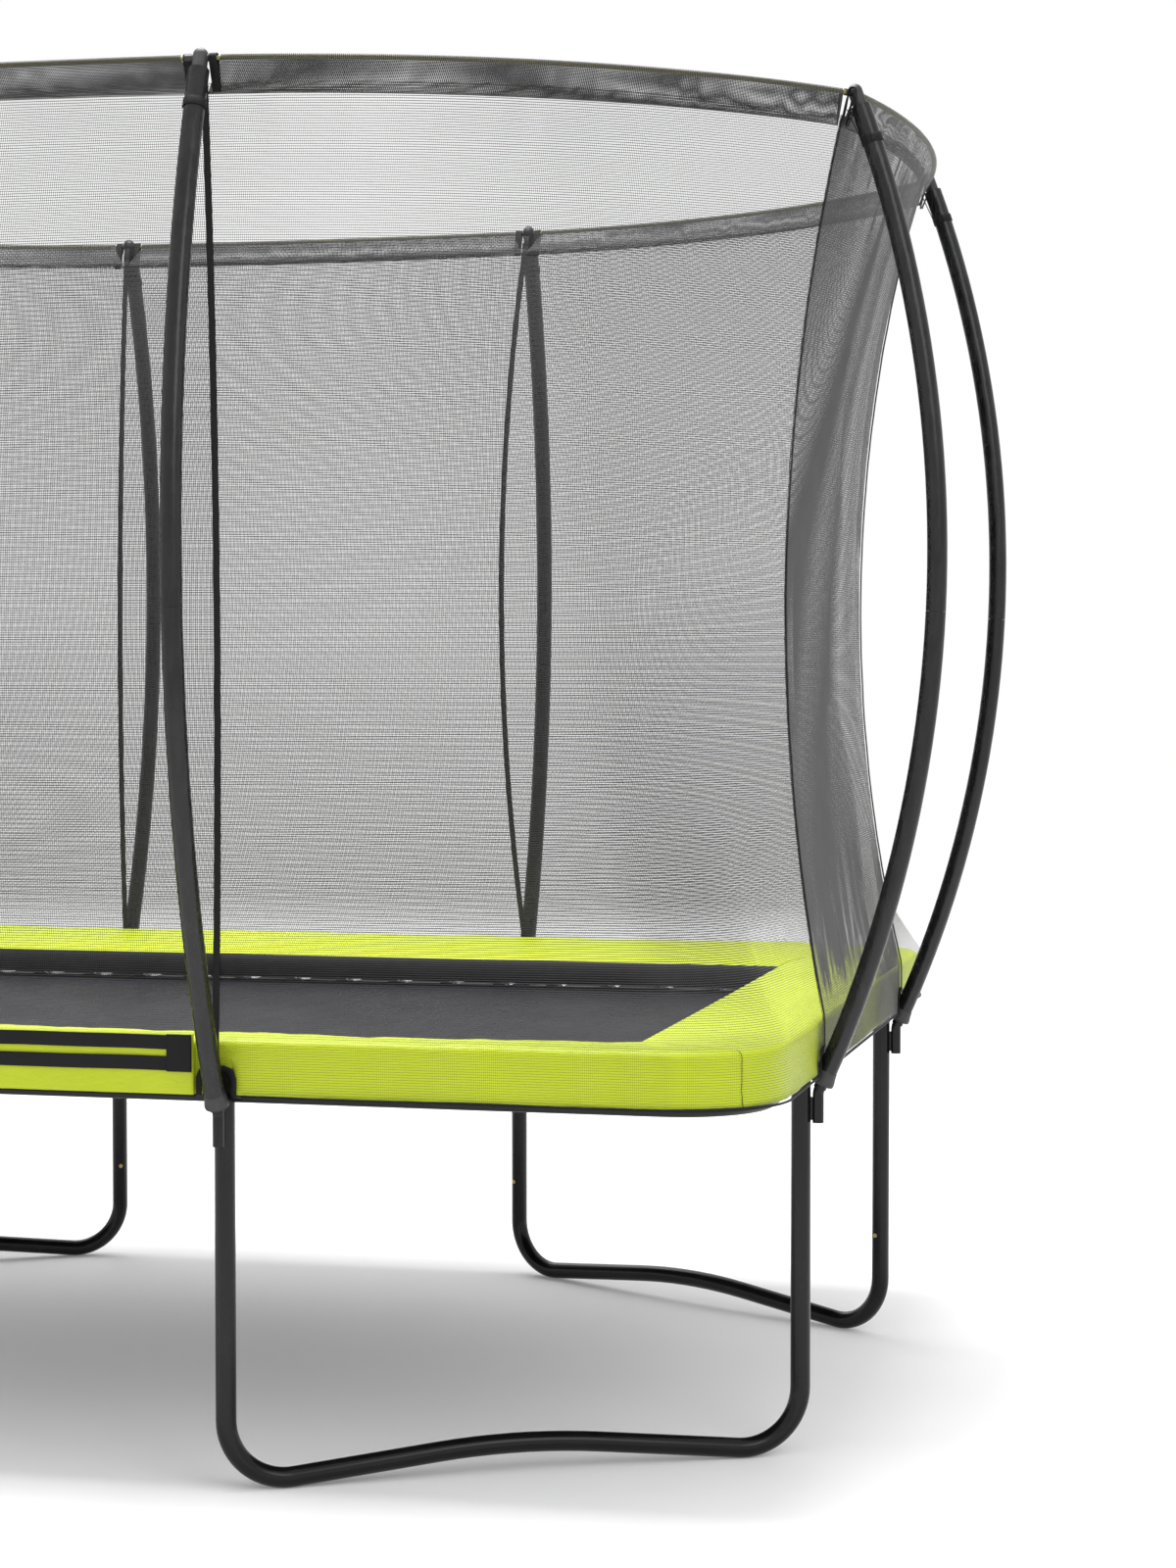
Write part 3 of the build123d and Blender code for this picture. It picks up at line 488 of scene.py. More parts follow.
def shell(name, grid, top, under, material, body):
    """Closed thin sheet between two depths under a grid's surface."""
    rows, cols = grid.shape[:2]
    normals = np.cross(np.gradient(grid, axis=1), np.gradient(grid, axis=0))
    normals /= np.linalg.norm(normals, axis=2, keepdims=True)
    layers = [(grid - normals * depth).reshape(-1, 3) for depth in (top, under)]
    across = running(grid, 1)
    across = across - across[:, -1:] / 2
    upward = running(grid, 0).mean(1)
    below = rows * cols
    faces, uvs = [], []

    def quad(corners, offsets):
        faces.append([offset + i * cols + j for (i, j), offset in zip(corners, offsets)])
        uvs.append([(across[i, j], upward[i]) for i, j in corners])

    for i in range(rows - 1):
        for j in range(cols - 1):
            corners = [(i, j), (i, j + 1), (i + 1, j + 1), (i + 1, j)]
            quad(corners, [0] * 4)
            quad(corners[::-1], [below] * 4)
    rim = [(0, j) for j in range(cols)] + [(i, cols - 1) for i in range(1, rows)]
    rim += [(rows - 1, j) for j in reversed(range(cols - 1))]
    rim += [(i, 0) for i in reversed(range(1, rows - 1))]
    for here, there in zip(rim, rim[1:] + rim[:1]):
        quad([there, here, here, there], [0, 0, below, below])
    return make_object(name, np.concatenate(layers), faces, uvs, material, body)


def unit(vectors):
    """Vectors at length one."""
    vectors = np.asarray(vectors, float)
    return vectors / np.linalg.norm(vectors, axis=-1, keepdims=True)


def at_height(z):
    """Upright vector of length z."""
    return np.array([0.0, 0.0, z])


def level_outward(path):
    """Level directions square to a path, away from the object's middle."""
    outward = unit(np.cross(unit(np.gradient(path, axis=0)), (0, 0, 1)))
    middle = len(path) // 2
    return -outward if outward[middle] @ path[middle] < 0 else outward


def band_normals(path, across):
    """Normals of a band that runs along a path and keeps one direction across."""
    return unit(np.cross(unit(np.gradient(path, axis=0)), across))


def ribbon_rows(path, normals, width, thickness):
    """Sections of a flat band with rounded edges, lying along a path."""
    path = np.asarray(path, float)
    normals = np.broadcast_to(np.asarray(normals, float), path.shape)
    tangents = unit(np.gradient(path, axis=0))
    sides = unit(np.cross(tangents, normals))
    faces_out = unit(np.cross(sides, tangents))
    half, deep = width / 2, thickness / 2
    flat = half * 0.92
    outline = [(-half, -deep / 2), (-flat, -deep), (0, -deep), (flat, -deep), (half, -deep / 2)]
    outline += [(-across, -out) for across, out in outline]
    rows = [path + sides * across + faces_out * out for across, out in outline]
    return np.stack(rows, axis=1)


def tube_rows(path, radius, sides=8):
    """Round sections along a path, with a frame carried along it without twist."""
    path = np.asarray(path, float)
    tangents = unit(np.gradient(path, axis=0))
    guide = np.array([0.0, 0.0, 1.0])
    if abs(tangents[0] @ guide) > 0.9:
        guide = np.array([1.0, 0.0, 0.0])
    rows = []
    for point, tangent in zip(path, tangents):
        guide = guide - tangent * (guide @ tangent)
        guide = guide / np.linalg.norm(guide)
        other = np.cross(tangent, guide)
        turns = [2 * pi * k / sides for k in range(sides)]
        rows.append([point + radius * (guide * cos(a) + other * sin(a)) for a in turns])
    return np.array(rows)


def ripple(x, y, z, size):
    """Smooth repeatable noise from about -1 to 1, for cloth that isn't quite flat."""
    return noise.noise(Vector((x / size, y / size, z / size)))


# ---- pole, ring and net lines ----


def pole_offset(z):
    """How far outwards from the post the pole's centre line is at height z."""
    return POLE_APEX - POLE_RADIUS + sqrt(POLE_RADIUS**2 - (z - POLE_APEX_Z) ** 2)


def post_vectors(name):
    """A post's foot point and its outward direction, as level vectors."""
    (x, y), (dx, dy) = POSTS[name]
    return np.array([x, y, 0.0]), np.array([dx, dy, 0.0], float)


def post_frame(name):
    """A post's foot point, its outward direction and the level direction beside it."""
    post, outward = post_vectors(name)
    return post, outward, np.cross(outward, (0, 0, 1))


def pole_ring(name, z, radius, turns):
    """Points round a pole at height z, square to its run, and their centre."""
    post, outward, side = post_frame(name)
    lean = (POLE_APEX_Z - z) / POLE_RADIUS
    up = outward * lean + at_height(sqrt(1 - lean**2))
    level = np.cross(up, side)
    centre = post + outward * pole_offset(z) + at_height(z)
    return np.array([centre + radius * (side * cos(a) + level * sin(a)) for a in turns]), centre


def cap_centre(name):
    """Where the ring passes through a pole's cap."""
    foot, outward = post_vectors(name)
    return foot + outward * pole_offset(RING_Z) + at_height(RING_Z)


def gather_direction(name):
    """Level direction in which the two net panels pull a strap."""
    names = list(POSTS)
    place = names.index(name)
    here = cap_centre(name)
    before = unit(cap_centre(names[place - 1]) - here)
    after = unit(cap_centre(names[(place + 1) % len(names)]) - here)
    return unit(before + after)


def strap_point(name, t):
    """The net at a post, as a level vector. t is 0 at the pad's edge and 1 at the ring."""
    post, outward = post_vectors(name)
    foot = post + outward * NET_FOOT
    head = post + outward * (pole_offset(RING_Z) - NET_HEAD_INSET)
    return foot + (head - foot) * t + gather_direction(name) * (NET_GATHER * 4 * t * (1 - t))


def rise_between(first, second):
    """How far the ring bows out between two posts."""
    sides = {first.split("_")[0], second.split("_")[0]}
    if sides <= {"front"} or sides <= {"back"}:
        return LONG_RISE
    if len(sides) == 1:
        return SHORT_RISE
    return CORNER_RISE


def outward_normal(start, end):
    """Level direction square to a chord, away from the object's middle."""
    chord = unit(end - start)
    normal = np.array([chord[1], -chord[0], 0.0])
    return normal if normal @ (start + end) > 0 else -normal


def arc_between(start, end, rise, shares):
    """Points on the circular arc from start to end that bows out by rise."""
    chord = end - start
    span = np.linalg.norm(chord)
    radius = (span**2 / 4 + rise**2) / (2 * rise)
    half_angle = asin(span / 2 / radius)
    normal = outward_normal(start, end)
    middle = (start + end) / 2 + normal * (rise - radius)
    along = chord / span
    turns = (2 * np.asarray(shares) - 1) * half_angle
    return middle + np.outer(np.sin(turns), along * radius) + np.outer(np.cos(turns), normal * radius)


def filleted(start, corner, end, radius, shares):
    """Points at even shares of the length of two runs with a rounded corner."""
    first, second = unit(corner - start), unit(end - corner)
    begin, finish = corner - first * radius, corner + second * radius
    centre = begin + second * radius
    turns = np.linspace(0, pi / 2, 25)
    bend = [centre - second * radius * cos(a) + first * radius * sin(a) for a in turns]
    points = np.array([start, *bend, finish, end])
    length = running(points, 0)
    return np.stack([np.interp(np.asarray(shares) * length[-1], length, p) for p in points.T], axis=1)


def foot_points(first, second, shares):
    """The net's foot between two posts, round the outside of the pad."""
    start, end = strap_point(first, 0), strap_point(second, 0)
    if rise_between(first, second) != CORNER_RISE:
        return start + np.outer(shares, end - start)
    corner_x = copysign(HALF_LENGTH + NET_FOOT, start[0])
    corner_y = copysign(HALF_WIDTH + NET_FOOT, start[1])
    corner = np.array([corner_x, corner_y, 0.0])
    return filleted(start, corner, end, PAD_CORNER + NET_FOOT - PAD_OVERHANG, shares)


def head_points(first, second, shares):
    """The net's head between two posts, just inside the ring."""
    start, end = strap_point(first, 1), strap_point(second, 1)
    rise = rise_between(first, second) + NET_HEAD_INSET
    return arc_between(start, end, rise, shares)


def net_row(first, second, z, shares):
    """The net between two straps at height z."""
    t = max(0.0, (z - NET_FOOT_Z) / (NET_TOP_Z - NET_FOOT_Z))
    shares = np.asarray(shares)
    start, end = strap_point(first, t), strap_point(second, t)
    straight = start + np.outer(shares, end - start)
    foot = foot_points(first, second, shares)
    head = head_points(first, second, shares)
    foot_bow = foot - (foot[0] + np.outer(shares, foot[-1] - foot[0]))
    head_bow = head - (head[0] + np.outer(shares, head[-1] - head[0]))
    foot_weight = sinh(NET_DECAY * (1 - t)) / sinh(NET_DECAY)
    head_weight = sinh(NET_DECAY * t) / sinh(NET_DECAY)
    row = straight + foot_bow * foot_weight + head_bow * head_weight
    row[:, 2] = z
    return row


# ---- net ----


def net_grid(first, second, top, cols):
    """Grid of the net panel from its foot to the hem, with gathers near its top and bottom."""
    shares = np.linspace(0.0015, 0.9985, cols)
    heights = list(np.linspace(NET_BOTTOM_Z, NET_FOOT_Z, FOOT_ROWS))
    heights += list(np.linspace(NET_FOOT_Z, top, 64)[1:])
    grid = np.array([net_row(first, second, z, shares) for z in heights])
    inward = -outward_normal(strap_point(first, 0), strap_point(second, 0))
    for i, z in enumerate(heights):
        near_head = max(0.0, 1 - (top - z) / HEAD_GATHER) ** 2
        near_foot = max(0.0, 1 - abs(z - NET_FOOT_Z) / FOOT_GATHER) ** 2 if z > NET_FOOT_Z else 0.0
        for j, share in enumerate(shares):
            held = min(1.0, 12 * share, 12 * (1 - share))
            x, y, _ = grid[i, j]
            fold = ripple(x, y, 0.15 * z, 0.055)
            sag = ripple(x, y, z, 0.45)
            depth = FOLD_DEPTH * fold * (near_head + 0.8 * near_foot)
            depth += SAG_DEPTH * sag * min(1.0, near_foot + 0.5)
            if z > NET_FOOT_Z + 0.01:
                grid[i, j] += inward * (abs(depth) * held)
    return grid


def post_notch(grid, first, second):
    """Lift the net's lower edge clear of the sockets beside both posts."""
    for name in (first, second):
        post, _, side = post_frame(name)
        for j in range(grid.shape[1]):
            if abs((grid[0, j] - post) @ side) < NOTCH_HALF:
                low = grid[:FOOT_ROWS, j, 2]
                rise = (low - low[0]) * (NET_FOOT_Z - NOTCH_TOP) / (low[-1] - low[0])
                grid[:FOOT_ROWS, j, 2] = NOTCH_TOP + rise
    return grid


def net_panels(neighbours):
    """Eight panels of netting, each sewn between two straps."""
    top = NET_TOP_Z - HEM_DEPTH * 0.6
    panels = []
    for first, second in neighbours:
        cols = 73 if rise_between(first, second) == CORNER_RISE else 61
        grid = post_notch(net_grid(first, second, top, cols), first, second)
        name = f"net_{first}_{second}"
        if rise_between(first, second) == SHORT_RISE:
            face = shell(name, grid, 0.0, 0.0004, END_NET, "frame")
            loops = shell(f"{name}_loops", grid, 0.0010, NET_THICKNESS, END_NET, "frame")
            panels.append([face, loops])
        else:
            panels.append([shell(name, grid, 0.0, NET_THICKNESS, NET, "frame")])
    return panels


def declare_net(panels, neighbours):
    """Works out each panel's width at 1.7 m and along its foot, and keeps neither."""
    for layers, (first, second) in zip(panels, neighbours):
        width = running(net_row(first, second, 1.7, np.linspace(0, 1, 41)), 0)[-1]
        foot = running(net_row(first, second, NET_FOOT_Z, np.linspace(0, 1, 41)), 0)[-1]


def hem_rows(first, second):
    """Sleeve of doubled netting round the rod between two posts."""
    start, end = cap_centre(first), cap_centre(second)
    span = np.linalg.norm(end - start)
    margin = 0.036 / span
    shares = np.linspace(margin, 1 - margin, 90)
    line = arc_between(start, end, rise_between(first, second), shares)
    outward = level_outward(line)
    foot = net_row(first, second, NET_TOP_Z - HEM_DEPTH, shares)
    rows = []
    for k in range(len(line)):
        low = foot[k]
        out = outward[k]
        around = np.radians((-30, 10, 50, 90, 130, 170, 210))
        loop = [line[k] + HEM_LOOP * (out * cos(a) + at_height(sin(a))) for a in around]
        puff = out * HEM_PUFF * (1 + ripple(*line[k], 0.03))
        edge = out * 0.0012
        shares_down = (0.25, 0.5, 0.75)
        body = [loop[0] * (1 - t) + (low + edge) * t + puff for t in shares_down]
        inside = [loop[-1] * (1 - t) + (low - edge) * t - puff for t in reversed(shares_down)]
        bottom = [low + out * 0.0014, low - out * 0.0014]
        rows.append(loop[::-1] + body + bottom + inside)
    return np.array(rows)


def hems(neighbours):
    """The eight hems that carry the net on the ring."""
    for first, second in neighbours:
        rows = hem_rows(first, second)
        piece = skins(f"hem_{first}_{second}", [rows], HEM, "frame")


def strap_path(name, low, high, clear, steps=70):
    """Line on the outside of the net at a post."""
    _, outward = post_vectors(name)
    path = []
    for z in np.linspace(low, high, steps):
        t = max(0.0, (z - NET_FOOT_Z) / (NET_TOP_Z - NET_FOOT_Z))
        wave = 0.0008 * ripple(outward[0], outward[1], z, 0.06)
        point = strap_point(name, t) + outward * (clear + wave)
        behind_pole = pole_offset(z) - SLEEVE_RADIUS - 0.003
        if z < NET_FOOT_Z and behind_pole < NET_FOOT + clear:
            point -= outward * (NET_FOOT + clear - behind_pole)
        point[2] = z
        path.append(point)
    return np.array(path)


def net_straps():
    """Upright webbing on the net at every post, from the rail up to the ring."""
    rows = []
    for name in POSTS:
        _, outward = post_vectors(name)
        path = strap_path(name, NET_BOTTOM_Z + 0.010, NET_TOP_Z, 0.0032, 120)
        rows.append(ribbon_rows(path, outward, 0.013, 0.0016))
    return webbing("net_strap_webbing", rows)


def notch_bindings_and_shade_patches():
    """Webbing sewn round the arch where the net and the skirt clear each socket, and a black patch behind
    it that paints the shade under the pad.
    """
    rows = []
    for name in POSTS:
        post, outward, side = post_frame(name)
        half, top, low = NOTCH_HALF + 0.005, NOTCH_TOP + 0.005, NET_BOTTOM_Z + 0.004
        arch = [(-half, low), (-half, top - 0.018), (-half + 0.005, top - 0.005), (-half + 0.018, top)]
        arch += [(-across, z) for across, z in reversed(arch)]
        smooth = []
        for (a0, z0), (a1, z1) in zip(arch, arch[1:]):
            steps = max(2, int(hypot(a1 - a0, z1 - z0) / 0.004))
            for step in range(steps):
                share = step / steps
                smooth.append((a0 + (a1 - a0) * share, z0 + (z1 - z0) * share))
        smooth.append(arch[-1])
        front = post + outward * (NET_FOOT + 0.0016)
        path = [front + side * a + at_height(z) for a, z in smooth]
        rows.append(ribbon_rows(path, outward, 0.011, 0.0018))
        # Black patch behind the notch: painted shade under the pad, seen through the arch.
        heights = np.linspace(NET_BOTTOM_Z + 0.006, NOTCH_TOP + 0.004, 6)
        shade_patch = [post + outward * SHADE_PATCH_REACH + at_height(z) for z in heights]
        rows.append(ribbon_rows(shade_patch, outward, 2 * NOTCH_HALF, 0.0015))
    return webbing("notch_bindings_and_shade_patches", rows)


def foot_bindings(neighbours):
    """Narrow binding along the net's lower edge between the notches."""
    rows = []
    for first, second in neighbours:
        shares = np.linspace(0, 1, 160)
        line = foot_points(first, second, shares)
        reach = [np.linalg.norm(line - line[end], axis=1) for end in (0, -1)]
        path = line[np.minimum(*reach) > NOTCH_HALF + 0.012]
        path[:, 2] = NET_BOTTOM_Z + 0.002
        rows.append(ribbon_rows(path, level_outward(path), 0.004, 0.0024))
    return webbing("net_foot_binding", rows)


def head_loop(top, low, outward):
    """Path of a webbing loop that hangs from the ring's arm down both sides of the hem."""
    reach = 0.0078
    over = np.radians((0, 40, 80, 120, 160))
    path = [low, low * 0.5 + (top + outward * reach) * 0.5]
    path += [top + reach * (outward * cos(a) + at_height(sin(a))) for a in over]
    path += [low * 0.5 + (top - outward * reach) * 0.5 - outward * 0.001, low - outward * 0.0035]
    return np.array(path)


def head_bands():
    """Webbing at each post: a loop round the ring's arms and a tie down to the pole."""
    rows = []
    for name in POSTS:
        _, outward, side = post_frame(name)
        head = strap_point(name, 1) + at_height(NET_TOP_Z)
        for way in (-1, 1):
            beside = side * (way * 0.024)
            top = cap_centre(name) + beside - outward * 0.002
            low = head + beside + at_height(-HEM_DEPTH) + outward * 0.002
            path = head_loop(top, low, outward)
            rows.append(ribbon_rows(path, band_normals(path, side), 0.015, 0.0014))
        radius = SLEEVE_RADIUS + 0.0012
        ring, centre = pole_ring(name, TIE_Z, radius, np.linspace(0, 2 * pi, 33))
        rows.append(ribbon_rows(ring, unit(ring - centre), 0.016, 0.0016))
        start = centre - outward * radius
        finish = head + outward * 0.004 + at_height(-0.022)
        tie = [start + (finish - start) * share for share in np.linspace(0, 1, 9)]
        rows.append(ribbon_rows(tie, outward * 0.6 + at_height(0.8), 0.014, 0.0014))
    return webbing("ring_ties", rows)


# ---- entrance zip ----


def zip_line(clear, steps):
    """The middle of the front panel, just outside the net."""
    heights = np.linspace(ZIP_LOW, ZIP_HIGH, steps)
    middle = [net_row("front_left", "front_right", z, [0.5])[0] for z in heights]
    return np.array(middle) + (0, -clear, 0)


def zip_tape():
    """Woven tape of the zip, sewn to the net."""
    rows = ribbon_rows(zip_line(0.0010, 90), (0, -1, 0), 0.030, 0.0010)
    return webbing("zip_tape", [rows])


def zip_teeth():
    """Moulded teeth: a narrow bead whose width and height pulse with each tooth."""
    pitch = 0.0026
    count = int((ZIP_HIGH - ZIP_LOW) / pitch) * 4
    rows = ribbon_rows(zip_line(0.0024, count), (0, -1, 0), 0.0062, 0.0018)
    middle = rows.mean(axis=1, keepdims=True)
    pulse = np.array([1.0, 1.0, 0.62, 0.62])[np.arange(count) % 4][:, None, None]
    return skins("zip_teeth", [middle + (rows - middle) * pulse], PLASTIC, "frame")


# ---- pads ----


def half_outline(half_in, half_out, deep_in, deep_out, marks):
    """Half of a pad's length, as (outer along, outer out, inner along) rows from its middle."""
    straight = half_out - PAD_CORNER
    centre = (straight, deep_out - PAD_CORNER)
    turns = np.linspace(0, pi / 2, 400)
    xs = centre[0] + PAD_CORNER * np.sin(turns)
    ys = centre[1] + PAD_CORNER * np.cos(turns)
    slope = (deep_out - deep_in) / (half_out - half_in)
    beyond = (xs - half_in) * slope - (ys - deep_in)
    last = turns[int(np.argmax(beyond > 0))] - 0.0055
    runs = sorted(set(np.round(np.linspace(0, straight, 110), 5)) | set(marks))
    rows = [(run, deep_out, run) for run in runs]
    for turn in np.linspace(0, last, 22)[1:]:
        x, y = centre[0] + PAD_CORNER * sin(turn), centre[1] + PAD_CORNER * cos(turn)
        rows.append((x, y, straight + PAD_CORNER * turn))
    total = rows[-1][2]
    return [(a, d, length / total * (half_in - 0.001)) for a, d, length in rows]


def pad_profile(inner, outer, outward, at_notch, seam, place):
    """Closed section of a pad at one place along it."""
    droop = 0.0045 * ripple(*place, 2.0, 0.22)
    skirt_low = NOTCH_TOP if at_notch else SKIRT_BOTTOM + droop
    tuck = 0.014 if at_notch else 0.003
    width = np.linalg.norm((outer - inner)[:2])
    section = []

    def put(share, z, out=0.0):
        point = inner + (outer - inner) * share + outward * out
        point[2] = z
        section.append(point)

    edge = 0.018 / width
    low, high = PAD_LIP, PAD_TOP_INNER
    for turn in np.radians(np.linspace(-90, 90, 7)):
        put(edge * (1 - cos(turn)), (low + high) / 2 + (high - low) / 2 * sin(turn))
    for share in np.linspace(0.09, 0.955, 22):
        rise = PAD_TOP_INNER + (PAD_TOP_OUTER - PAD_TOP_INNER) * share
        crown = 0.006 * sin(pi * share) ** 0.7
        dent = 0.0045 * ripple(*place, share * 0.31, 0.17)
        dent += 0.0024 * ripple(*place, share * 0.31, 0.06)
        put(share, rise + crown + dent - seam * 0.0035)
    fold = 0.014
    sway = 0.0022 * ripple(*place, 1.0, 0.11)
    for turn in np.radians(np.linspace(75, 0, 6)):
        out = fold * (cos(turn) - 1) - seam * 0.001
        put(1.0, PAD_TOP_OUTER - fold + fold * sin(turn), out)
    for share in np.linspace(0.12, 1.0, 9):
        z = (PAD_TOP_OUTER - fold) * (1 - share) + skirt_low * share
        wave = 0.0035 * ripple(*place, 0.4 * share, 0.075) - 0.0008 + sway
        bulge = -0.002 * sin(pi * share)
        put(1.0, z, (wave + bulge) * (0.3 + 0.7 * share) - seam * 0.0016)
    bottom_out = 0.0035 * ripple(*place, 0.4, 0.075) - 0.0008 + sway
    put(1.0, skirt_low, bottom_out - tuck)
    put(1.0, PAD_UNDER, -max(tuck, 0.009) - 0.001)
    for share in np.linspace(0.93, 0.10, 10):
        put(share, PAD_LIP + (PAD_UNDER - PAD_LIP) * min(1.0, share / 0.5))
    return section


def pad(name, node, turn, half_in, half_out, deep_in, deep_out, post_along):
    """One side's foam pad in its lime cover, with its skirt. turn is the side's heading."""
    along = np.array([sin(turn), -cos(turn), 0.0])
    out = np.array([cos(turn), sin(turn), 0.0])
    edges = (-NOTCH_HALF - 0.0012, -NOTCH_HALF, NOTCH_HALF, NOTCH_HALF + 0.0012)
    marks = {round(post_along + offset, 5) for offset in edges}
    seam_at = round(post_along - 0.075, 5)
    marks |= {round(seam_at + shift, 5) for shift in (-0.004, 0.0, 0.004)}
    half = half_outline(half_in, half_out, deep_in, deep_out, marks)
    mirrored = [(-a, d, -i) for a, d, i in reversed(half[1:])] + half
    rows = []
    for index, (a, d, i) in enumerate(mirrored):
        outer = along * a + out * d
        inner = along * i + out * deep_in
        before = mirrored[max(0, index - 1)]
        after = mirrored[min(len(mirrored) - 1, index + 1)]
        run = along * (after[0] - before[0]) + out * (after[1] - before[1])
        outward = unit(np.cross(run, (0, 0, 1)))
        if outward @ out < 0:
            outward = -outward
        at_notch = abs(abs(a) - post_along) < NOTCH_HALF + 0.0005
        seam = float(abs(abs(a) - seam_at) < 0.0005)
        rows.append(pad_profile(inner, outer, outward, at_notch, seam, (outer[0], outer[1])))
    piece = skins(name, [np.array(rows)], LIME, "frame")
    piece.data.materials.append(LINING)
    size = len(rows[0])
    for number, face in enumerate(piece.data.polygons):
        side = number % size
        if side < LIP_SEGMENTS or side >= size - LINING_SEGMENTS:
            face.material_index = 1
    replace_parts(piece, node)


def pads():
    """The four pads round the mat."""
    outer_x, outer_y = HALF_LENGTH + PAD_OVERHANG, HALF_WIDTH + PAD_OVERHANG
    short = (PAD_OPEN_Y, outer_y, PAD_OPEN_X, outer_x, 0.543)
    long = (PAD_OPEN_X, outer_x, PAD_OPEN_Y, outer_y, 0.530)
    pad("pad_cover_right", "pad_right", 0, *short)
    pad("pad_cover_left", "pad_left", pi, *short)
    pad("pad_cover_back", "pad_back", pi / 2, *long)
    pad("pad_cover_front", "pad_front", -pi / 2, *long)


def entrance_flap():
    """Lime flap over the foot of the net at the entrance, with two webbing strips."""
    columns = np.linspace(-FLAP_HALF, FLAP_HALF, 150)
    profile = [(0.0042, 0.8445), (0.0012, 0.8435)]
    profile += [(-0.0006, z) for z in np.linspace(0.8405, SKIRT_BOTTOM, 22)]
    grid = []
    for shift, z in reversed(profile):
        slack = (PAD_TOP_OUTER - z) / 0.1
        row = []
        for x in columns:
            wave = 0.0024 * ripple(x, z, 0.0, 0.09) + 0.0016 * ripple(x, 0.4 * z, 3.0, 0.04)
            row.append((x, FLAP_Y + shift - abs(wave) * min(1.0, max(0.0, 0.3 + slack)), z))
        grid.append(row)
    # The darker lime copy paints shade on the flap.
    flap = shell("entrance_flap_cover", np.array(grid), 0.0, 0.0016, SHADED_FLAP_LIME, "frame")
    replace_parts(flap, "entrance_flap")
    strips = []
    for z in STRIP_HEIGHTS:
        xs = np.linspace(-FLAP_HALF + 0.004, FLAP_HALF - 0.004, 160)
        path = [(x, FLAP_Y - 0.0044, z + 0.0016 * ripple(x, z, 5.0, 0.12)) for x in xs]
        strips.append(ribbon_rows(path, (0, -1, 0), 0.026, 0.0016))
    for side in (-1, 1):
        xs = np.linspace(FLAP_HALF - 0.050, FLAP_HALF - 0.002, 12) * side
        path = [(x, FLAP_Y - 0.0062, 0.8095) for x in xs]
        strips.append(ribbon_rows(path, (0, -1, 0), 0.068, 0.0018))
    webs = webbing("entrance_webbing", strips)


# ---- mat and springs ----


def corner_mapped(x, y):
    """A point of the mat's rectangle, drawn in so that its corners come out round."""
    a = abs(x) - (MAT_X - MAT_CORNER)
    b = abs(y) - (MAT_Y - MAT_CORNER)
    if a <= 0 or b <= 0:
        return x, y
    near_x = a * sqrt(1 - b**2 / (2 * MAT_CORNER**2))
    near_y = b * sqrt(1 - a**2 / (2 * MAT_CORNER**2))
    return copysign(MAT_X - MAT_CORNER + near_x, x), copysign(MAT_Y - MAT_CORNER + near_y, y)


def jumping_mat():
    """Woven mat, drawn tight between its springs."""
    fine = np.linspace(-MAT_CORNER, 0, 7)
    xs = np.concatenate([-MAT_X - fine[::-1], np.linspace(-1.27, 1.27, 90), MAT_X + fine])
    ys = np.concatenate([-MAT_Y - fine[::-1], np.linspace(-0.82, 0.82, 60), MAT_Y + fine])
    xs, ys = np.unique(np.round(xs, 5)), np.unique(np.round(ys, 5))
    grid = []
    for y in ys:
        row = []
        for x in xs:
            edge = min(MAT_X - abs(x), MAT_Y - abs(y))
            sag = 0.004 * min(1.0, edge / 0.5) + 0.0008 * ripple(x, y, 0.0, 0.3) * min(1.0, edge / 0.1)
            px, py = corner_mapped(x, y)
            row.append((px, py, RAIL_Z + MAT_THICKNESS / 2 - sag))
        grid.append(row)
    mat = shell("jumping_mat", np.array(grid), 0.0, MAT_THICKNESS, MAT, "mat")
    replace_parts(mat, "mat")
    return mat


def mat_edge():
    """Webbing folded over the mat's edge."""
    turns = np.linspace(0, pi / 2, 9)
    outline = []
    for sx, sy, start in ((1, 1, 0), (-1, 1, 1), (-1, -1, 2), (1, -1, 3)):
        centre = (sx * (MAT_X - MAT_CORNER), sy * (MAT_Y - MAT_CORNER))
        for turn in turns:
            angle = turn + start * pi / 2
            outline.append((centre, (cos(angle), sin(angle))))
    spaced = []
    for (centre, way), (next_centre, _) in zip(outline, outline[1:] + outline[:1]):
        spaced.append((centre, way))
        count = int(hypot(next_centre[0] - centre[0], next_centre[1] - centre[1]) / 0.04)
        for step in range(1, count):
            share = step / count
            between = tuple(c + (n - c) * share for c, n in zip(centre, next_centre))
            spaced.append((between, way))
    deep = 0.046
    profile = [(-deep, 0.0011), (-deep, 0.0021), (-0.02, 0.0023), (0.0001, 0.0021), (0.0002, 0.0)]
    profile += [(0.0001, -0.0021), (-0.02, -0.0023), (-deep, -0.0021), (-deep, -0.0011), (-0.0008, -0.0011)]
    profile += [(-0.0008, 0.0011)]
    reached = [(MAT_CORNER + reach, RAIL_Z + z) for reach, z in profile]
    rows = [[(cx + wx * r, cy + wy * r, z) for r, z in reached] for (cx, cy), (wx, wy) in spaced]
    return skins("mat_edge_webbing", [np.array(rows)], WEBBING, "mat", loops=True)


def spring_row(pitch, each_way, out):
    """(rail point, inward direction) of every spring on the side that faces out."""
    out = np.array(out, float)
    run = abs(np.array([out[1], out[0], 0.0]))
    middle = out * (HALF_LENGTH, HALF_WIDTH, 0) + at_height(RAIL_Z)
    return [(middle + run * (k * pitch), -out) for k in range(-each_way, each_way + 1)]


